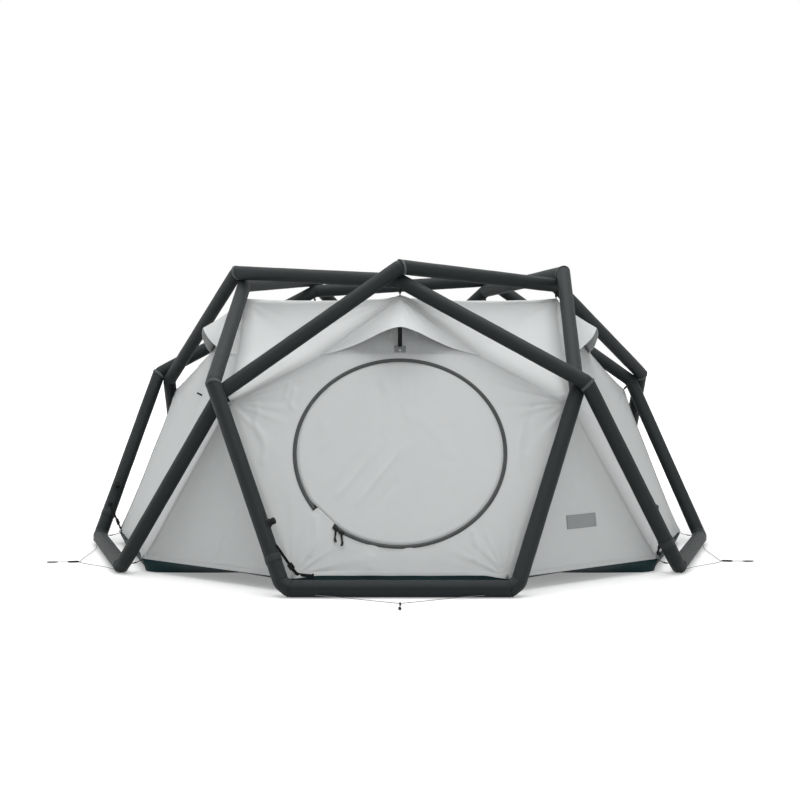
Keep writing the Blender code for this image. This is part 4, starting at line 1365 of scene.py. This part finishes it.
for which in ("rear", "lead"):
    seat = slider_seat(which)
    here = seat.translation
    body = rounded_box("body", (.0225, .0160, .0022), seat @ Matrix.Translation((0, 0, .0049)),
                       black_look, .0010, 3)
    low = rounded_box("low", (.0190, .0130, .0034), seat @ Matrix.Translation((.0012, 0, .0022)),
                      black_look, .0009, 2)
    side = []
    for sign in (-1, 1):
        side.append(rounded_box("rail", (.0160, .0018, .0026),
                                seat @ Matrix.Translation((-.002, sign * .0071, .0042)),
                                black_look, .0006, 2))
    bridge = [seat @ Vector(p) for p in ((-.0070, 0, .0055), (-.0058, 0, .0075), (-.0030, 0, .0086),
                                         (.0, 0, .0088), (.0030, 0, .0086), (.0058, 0, .0075),
                                         (.0070, 0, .0055))]
    arch = sweep("bail", catmull(bridge, 3), flat_section(.0034, .0013), outward, black_look)
    slider = join(f"slider_{which}", [body, low, arch] + side)
    slider.data.polygons.foreach_set("use_smooth", [True] * len(slider.data.polygons))
    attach(slider, f"{which}_slider")
    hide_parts(f"zip_slider_{which}")
    drop = .004 / 2 + .0006 + .0022 / 2
    rise = .006 + .0006 + .0022 / 2
    pivot = here + down_slope * drop + outward * rise
    lean = -.004 if which == "rear" else .006
    turn_in = 1 if which == "rear" else -1

    def pull_spot(x, y, z):
        return pivot + across * (x + lean * y / .05) + down_slope * y + outward * z

    path = [(0, -.0010, 0), (0, .008, 0), (0, .020, 0), (0, .038, 0)]
    strip = sweep("strip", catmull([pull_spot(*p) for p in path], 5), flat_section(.0072, .0024),
                  outward, web_look, scale=[.55, .75, .9] + [1.0] * 13)
    tab_path = [(0, .034, 0), (0, .0385, 0), (turn_in * .0008, .0435, 0),
                (turn_in * .0050, .0500, 0), (turn_in * .0066, .0525, 0)]
    tab = sweep("tab", catmull([pull_spot(*p) for p in tab_path], 4),
                flat_section(.0094, .0030), outward, black_look,
                scale=[.75, .9] + [1.0] * 11 + [1.0, .95, .85, .70])
    pull = join(f"pull_{which}", [strip, tab])
    pull.data.polygons.foreach_set("use_smooth", [True] * len(pull.data.polygons))
    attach(pull, f"{which}_pull")
    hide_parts(f"zip_pull_{which}")


# Vent hoods, the mesh under them and their props


def sheet_rise_over(fold):
    """Gives the finished sheet's rise over a panel's plane at a side and a drop."""
    local = final - np.array(fly_top(fold))
    ways = [np.array(turned(way, fold)) for way in (across, down_slope, outward)]
    spots = np.stack([local @ way for way in ways], 1)
    tree = KDTree(count)
    near = (np.abs(spots) < (.45, .40, .05)).all(1) & (spots[:, 1] > -.004)
    for n in np.flatnonzero(near):
        tree.insert((spots[n, 0], spots[n, 1], 0), int(n))
    tree.balance()

    def rise(side, drop):
        found = tree.find_n((side, drop, 0), 4)
        weight = np.array([1 / (d + 1e-4) for _, _, d in found])
        return float(weight @ spots[[i for _, i, _ in found], 2] / weight.sum())

    return rise


def rounded(size, soft):
    """A share from 0 to 1 that leaves 0 without a kink."""
    return (sqrt(size * size + soft * soft) - soft) / (sqrt(1 + soft * soft) - soft)


for fold, name in hood_names.items():
    sheet_rise = sheet_rise_over(fold)
    columns, rows = 96, 22
    verts, uv = [], []
    for r in range(rows + 1):
        part = r / rows
        for c in range(columns + 1):
            share = -1 + 2 * c / columns
            size = abs(share)
            side = hood_half_width * share
            top_drop = hood_peak_drop + (hood_side_drop - hood_peak_drop) * rounded(size, .03)
            low_drop = hood_lip_drop + (hood_side_drop - hood_lip_drop) * rounded(size, .09)
            if fold:
                low_drop = min(low_drop + .15 * size * (1 - size), hood_side_drop)
            drop = top_drop + (low_drop - top_drop) * part
            bulge = size ** 3 / (size * size + .002)
            lift = hood_lip_rise * (1 - bulge) ** (.35 + 2.9 * bulge)
            bow = 4 * part * (1 - part) * (1 - size)
            rise = lift * part ** .92 - .008 * bow + .0010 * bow * sin(share * 19)
            verts.append(on_panel(side, drop, sheet_rise(side, drop) + rise + .0020, fold))
            uv.append((side, drop))
    hood = mesh_object(f"hood_{name}", verts, grid_faces(rows + 1, columns + 1), uv)
    hood.data.materials.append(hood_look)
    flip = hood.data.polygons[len(hood.data.polygons) // 2].normal
    if flip.dot(turned(outward, fold)) < 0:
        hood.data.flip_normals()
    thick = hood.modifiers.new("cloth", "SOLIDIFY")
    thick.thickness = .0012
    thick.offset = 0
    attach(hood, "tent")
    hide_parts(f"vent_hood_{name}")

    grid = np.array([tuple(v) for v in verts]).reshape(rows + 1, columns + 1, 3)
    low_line, inner_line = grid[rows], grid[rows - 2]
    up_dirs = unit(np.cross(np.gradient(low_line, axis=0), low_line - inner_line))
    if up_dirs[columns // 2] @ np.array(turned(outward, fold)) < 0:
        up_dirs = -up_dirs
    shifted = low_line + unit(inner_line - low_line) * .005
    lip = sweep("lip", shifted[2:-2], flat_section(.010, .0018), look=hood_look, ups=up_dirs[2:-2])
    sewn = sweep("sewn", grid[0], flat_section(.010, .0014), look=hood_look,
                 ups=[tuple(turned(outward, fold))] * (columns + 1))
    trims = join(f"hood_hems_{name}", [lip, sewn])
    trims.data.polygons.foreach_set("use_smooth", [True] * len(trims.data.polygons))
    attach(trims, "tent")

    vent, vent_uv = [], []
    steps = 24
    for r in range(steps + 1):
        for c in range(steps + 1):
            share = -1 + 2 * c / steps
            top_drop = hood_peak_drop + .02 + (hood_side_drop - hood_peak_drop - .02) * abs(share)
            side = .96 * hood_half_width * share
            drop = top_drop + (hood_side_drop - .002 - top_drop) * (r / steps)
            vent.append(on_panel(side, drop, sheet_rise(side, drop) + .0007, fold))
            vent_uv.append((side, drop))
    vent_mesh_and_painted_shade = mesh_object(f"vent_mesh_and_painted_shade_{name}", vent, grid_faces(steps + 1, steps + 1), vent_uv)
    # The mesh's darker grey is partly painted shade under the hood, on top of the real shade the hood
    # casts.
    vent_mesh_and_painted_shade.data.materials.append(mesh_and_painted_shade_look)
    if vent_mesh_and_painted_shade.data.polygons[40].normal.dot(turned(outward, fold)) < 0:
        vent_mesh_and_painted_shade.data.flip_normals()
    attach(vent_mesh_and_painted_shade, "tent")
    foot = on_panel(0, prop_foot_drop, prop_foot_rise, fold)
    head = on_panel(0, hood_lip_drop - .002, sheet_rise(0, hood_lip_drop) + hood_lip_rise - .001, fold)
    prop_line = [foot + (head - foot) * n / 16 for n in range(17)]
    flat_dir = turned(across, fold).cross(head - foot).normalized()
    prop = sweep("bar", prop_line, flat_section(.0180, .0038), look=web_look,
                 ups=[tuple(flat_dir)] * 17, scale=[.86, .97] + [1] * 13 + [.97, .86])
    edges_bar = []
    for sign in (-1, 1):
        shift = turned(across, fold) * sign * .0078
        edges_bar.append(sweep("rib", [p + shift + flat_dir * .0016 for p in prop_line[1:-1]],
                               circle(.0008, 6), flat_dir, black_look))
    prop = join(f"prop_{name}", [prop] + edges_bar)
    prop.data.polygons.foreach_set("use_smooth", [True] * len(prop.data.polygons))
    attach(prop, f"{name}_prop")
    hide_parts(f"vent_prop_{name}")
    patch_drop, patch_top = prop_foot_drop + .0126, .0030
    patch_low = sheet_rise(0, patch_drop) - .001
    ways = turned(across, fold), turned(down_slope, fold), -turned(outward, fold)
    base = rounded_box("base", (.050, .031, patch_top - patch_low),
                       basis(*ways, on_panel(0, patch_drop, (patch_top + patch_low) / 2, fold)),
                       foot_look, .0008, 2)
    spot = rounded_box("spot", (.009, .009, .0012),
                       basis(*ways, on_panel(0, patch_drop + .006, patch_top + .0004, fold)),
                       seam_look, .0004, 2)
    pad = join(f"prop_patch_{name}", [base, spot])
    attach(pad, "tent")


# Groundsheet tray

def tray_inset(azimuth):
    """How far the floor's edge lies inside the hem; it runs straight across by the front legs."""
    turn = abs((degrees(azimuth) + 180) % 360 - 180)
    return float(np.interp(turn, (14, 22, 37.1, 51.8, 56), (.030, .17, .255, .004, .026)))


def tray():
    corners = 10
    per = 24
    columns = corners * per
    outline = []
    for n in range(corners):
        a = polar((2 * n + 1) * corner_angle, 1, 0)
        b = polar((2 * n + 3) * corner_angle, 1, 0)
        for k in range(per):
            outline.append(np.array(a + (b - a) * k / per))
    outline = np.array(outline)
    hem = outline * fly_hem_radius + (0, 0, fly_hem_height)
    drawn = hem + lifted(hem)
    away = unit(outline)
    inset = np.array([tray_inset(atan2(p[0], -p[1])) for p in outline])
    edge = hem - away * inset[:, None]
    edge[:, 2] = .0018
    ripple = np.sin(np.arange(columns) * 1.9) + .6 * np.sin(np.arange(columns) * .83 + 1)
    lines = [drawn - away * .0045 + (0, 0, .008), drawn - away * .0016, hem - away * .0012]
    for share in (.84, .68, .52, .36, .22, .10, 0):
        sink = np.minimum(.0030 * sin(pi * share) * ripple, .0008)
        lines.append(edge + (hem - edge) * share + away * sink[:, None])
    for share in (.985, .96, .92, .86, .78, .68, .56, .42, .28, .14):
        line = edge * share
        wrinkle = 1 + np.sin(line[:, 0] * 11 + 2 * np.sin(line[:, 1] * 5)) * np.cos(line[:, 1] * 9)
        line[:, 2] = .0018 + .0016 * wrinkle * min(1, (1 - share) / .06)
        lines.append(line)
    rows = len(lines)
    verts = np.concatenate(lines + [[(0, 0, .003)]])
    uv = verts[:, :2] + np.stack([0 * verts[:, 2], verts[:, 2]], 1)
    faces = grid_faces(rows, columns, False, True)
    hub = len(verts) - 1
    start = (rows - 1) * columns
    faces += [(start + c, start + (c + 1) % columns, hub) for c in range(columns)]
    item = mesh_object("tray", verts, faces, uv)
    fix_normals(item)
    item.data.materials.append(tray_look)
    thick = item.modifiers.new("cloth", "SOLIDIFY")
    thick.thickness = .0010
    thick.offset = 0
    return item


groundsheet = tray()
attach(groundsheet, "tent")
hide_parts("groundsheet")


# Hangers

def hanger(name, spot, tube, toggle_at):
    """Doubled cord between the fly's corner and the tube, with a toggle on it."""
    aim = (tube - spot).normalized()
    reach = (tube - spot).length - tube_radius
    side = aim.cross(Vector((0, 0, 1)))
    side = side.normalized() if side.length > .05 else aim.orthogonal().normalized()
    parts = []
    for sign in (-1, 1):
        line = [spot + aim * (reach * s) + side * sign * (.0010 + .0016 * sin(pi * s))
                for s in np.linspace(.0, 1.0, 9)]
        parts.append(sweep("strand", line, circle(.0013, 8), side, cord_look))
    place = spot + aim * reach * toggle_at
    turn = basis(side, aim.cross(side), aim, place)
    profile = [(.0030, -.008), (.0048, -.0072), (.0054, -.005), (.0054, .005), (.0048, .0072),
               (.0030, .008)]
    parts.append(lathe("toggle", profile, turn, black_look, 16))
    knot = [(.0012, -.004), (.0030, -.003), (.0037, 0), (.0030, .003), (.0012, .004)]
    parts.append(lathe("knot", knot, basis(side, aim.cross(side), aim, spot + aim * .005), cord_look,
                       12))
    item = join(f"{name}_cord", parts)
    item.data.polygons.foreach_set("use_smooth", [True] * len(item.data.polygons))
    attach(item, "tent")
    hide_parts(name)


for fold in range(fold_count):
    hanger(f"top_hanger_{fold + 1}", fly_top(fold), top_crossing(fold, False), .62)
    hanger(f"mid_hanger_{fold + 1}", fly_mid(fold), mid_crossing(fold + 1, False), .45)


# Valve caps

def leg_side(fold):
    azimuth = fold * fold_angle - corner_angle
    around = Vector((cos(azimuth), sin(azimuth), 0))
    up_leg = cuffed_leg(fold)[1]
    return (around - up_leg * around.dot(up_leg)).normalized()


for fold in range(fold_count):
    axis = leg_side(fold)
    foot, up_leg = cuffed_leg(fold)
    seat = foot + up_leg * .270 + axis * tube_radius
    place = basis(up_leg, axis.cross(up_leg), axis, seat)
    profile = [(.0150, -.0012), (.0168, .0), (.0172, .0022), (.0168, .0052), (.0156, .0068),
               (.0122, .0076), (.0118, .0090), (.0130, .0104), (.0136, .0130), (.0136, .0240),
               (.0130, .0262), (.0112, .0274), (.0060, .0272), (.0052, .0262), (.0030, .0260)]
    cap = lathe(f"valve_{fold + 1}_cap", profile, place, black_look, 72, 9, .0022,
                range(7, 11))
    cap.data.polygons.foreach_set("use_smooth", [True] * len(cap.data.polygons))
    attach(cap, f"valve_{fold + 1}")
    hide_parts(f"valve_cap_{fold + 1}")
    collar_turn = [(.0260, -.0030), (.0262, -.0012), (.0245, -.0004), (.0200, .0004), (.0172, .0006)]
    collar = lathe(f"valve_patch_{fold + 1}", [(r * .82, h) for r, h in collar_turn], place,
                   cuff_look, 40)
    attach(collar, "tent")


# Corner straps and short ties

for fold in range(fold_count):
    face = turned(outward, fold)
    foot, up_leg = cuffed_leg(fold)
    aside = leg_side(fold)
    hem = fly_hem(fold, -1)
    hem_along = (fly_hem(fold, 1) - hem).normalized()
    hem_up = face.cross(hem_along)
    bend = hem + hem_along * .014 + hem_up * .020 + face * .0050
    start = foot + up_leg * .165 + aside * (tube_radius + .0006)
    along = (bend - start).normalized()
    square = along.cross(face).normalized()
    route = [start - along * .004, start + along * .03, start + along * .092]
    parts = []
    parts.append(sweep("upper", catmull(route, 6), flat_section(.0105, .0022), face, web_look))
    second = [p + face * .0028 + square * .0016 for p in route[1:]]
    parts.append(sweep("loose_end", catmull([second[0], (second[0] + second[1]) / 2, second[1]], 5),
                       flat_section(.0100, .0018), face, web_look))
    mid = start + along * .101
    turn = basis(square, along, square.cross(along), mid)
    for x in (-.0098, .0098):
        parts.append(rounded_box("rail", (.0030, .0270, .0052),
                                 turn @ Matrix.Translation((x, 0, .0)), black_look, .0010, 2))
    for y in (-.0120, -.0030, .0055, .0125):
        parts.append(rounded_box("bar", (.0180, .0032, .0046),
                                 turn @ Matrix.Translation((0, y, .0)), black_look, .0010, 2))
    parts.append(rounded_box("plate", (.0200, .0255, .0026), turn, black_look, .0010, 2))
    low_route = [start + along * .108, start + along * .128 + face * .0006,
                 bend - along * .012 + face * .0006, bend + hem_along * .006,
                 bend + hem_along * .030 - hem_up * .004, bend + hem_along * .066 - hem_up * .007]
    parts.append(sweep("lower", catmull(low_route, 6), flat_section(.0135, .0022), face, web_look))
    knot_place = basis(hem_along, hem_up, face, low_route[-1] + face * .0010)
    parts.append(rounded_box("knot", (.008, .0190, .0060), knot_place, web_look, .0020, 3))
    tab_place = basis(up_leg, aside.cross(up_leg), aside, foot + up_leg * .165
                      + aside * (tube_radius + .0006))
    parts.append(rounded_box("tab", (.020, .0190, .0032), tab_place, web_look, .0012, 2))
    strap = join(f"strap_{fold + 1}", parts)
    strap.data.polygons.foreach_set("use_smooth", [True] * len(strap.data.polygons))
    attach(strap, "tent")
    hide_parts(f"corner_strap_{fold + 1}")

for fold in range(fold_count):
    for side in (-1, 1):
        hem = fly_hem(fold, side)
        corner = ground_corner(fold, side)
        aim = (corner - hem).normalized()
        reach = (corner - hem).length - base_tube_radius
        flat = aim.cross(Vector((0, 0, 1))).normalized()
        sag = Vector((0, 0, -1))
        route = [hem + aim * (reach * s - .004) + sag * .004 * sin(pi * s)
                 for s in np.linspace(0, 1.06, 9)]
        parts = [sweep("tie", route, flat_section(.009, .0020), (0, 0, 1), web_look)]
        hook_at = hem + aim * reach * .58 + sag * .004
        hook = [hook_at + flat * a + aim * b for a, b in
                ((-.006, -.008), (-.0065, .0), (-.004, .008), (.0, .0100), (.004, .008),
                 (.0065, .0), (.006, -.008))]
        parts.append(sweep("hook", catmull(hook, 4), circle(.0016, 10), (0, 0, 1), black_look))
        tie = join(f"hem_tie_{fold * 2 + (side + 3) // 2}", parts)
        tie.data.polygons.foreach_set("use_smooth", [True] * len(tie.data.polygons))
        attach(tie, "tent")


# Crossing pads between the two tubes of every crossing

for fold in range(fold_count):
    for name, spot in (
            ("mid", polar((fold + .5) * fold_angle, mid_radius, mid_height)),
            ("top", polar(fold * fold_angle, top_radius, top_height))):
        axis = spot.normalized()
        side = axis.cross(Vector((0, 0, 1))).normalized()
        place = basis(side, axis.cross(side), axis, spot)
        pad = lathe(f"crossing_pad_{name}_{fold + 1}",
                    [(.012, -.0065), (.0175, -.0050), (.0160, 0), (.0175, .0050), (.012, .0065)],
                    place, web_look, 28)
        pad.data.polygons.foreach_set("use_smooth", [True] * len(pad.data.polygons))
        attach(pad, "tent")


# Bare grey patch on the right lower triangle and the loop on the left panel

def cloth_patch(name, centre, right, up, normal, width, height, rise, look):
    """Patch sewn on the finished sheet, which it follows."""
    n = 16
    verts, uv = [], []
    for r in range(n + 1):
        for c in range(n + 1):
            a, b = (c / n - .5) * width, (r / n - .5) * height
            spot, way = on_cloth(centre + right * a + up * b)
            verts.append(spot + way * rise)
            uv.append((a + width / 2, b + height / 2))
    item = mesh_object(name, verts, grid_faces(n + 1, n + 1), uv)
    item.data.materials.append(look)
    if item.data.polygons[0].normal.dot(normal) < 0:
        item.data.flip_normals()
    solid = item.modifiers.new("cloth", "SOLIDIFY")
    solid.thickness = .0012
    solid.offset = -1
    return item


a, b, c = fly_mid(0), fly_hem(0, 1), fly_hem(1, -1)
right = (c - b).normalized()
middle = (b + c) / 2
up = (a - middle).normalized()
patch = cloth_patch("grey_patch", middle + up * .200, right, up, right.cross(up), .166, .057, .0022,
                    patch_look)
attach(patch, "tent")

spot, way = on_cloth(on_panel(.0287, .490, 0, 4))
guy_loop = sweep("panel_loop", [spot + way * s for s in (-.001, .006, .013, .020, .026)],
                 flat_section(.0140, .0080), look=web_look, scale=[.8, 1, 1, 1, .8])
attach(guy_loop, "tent")
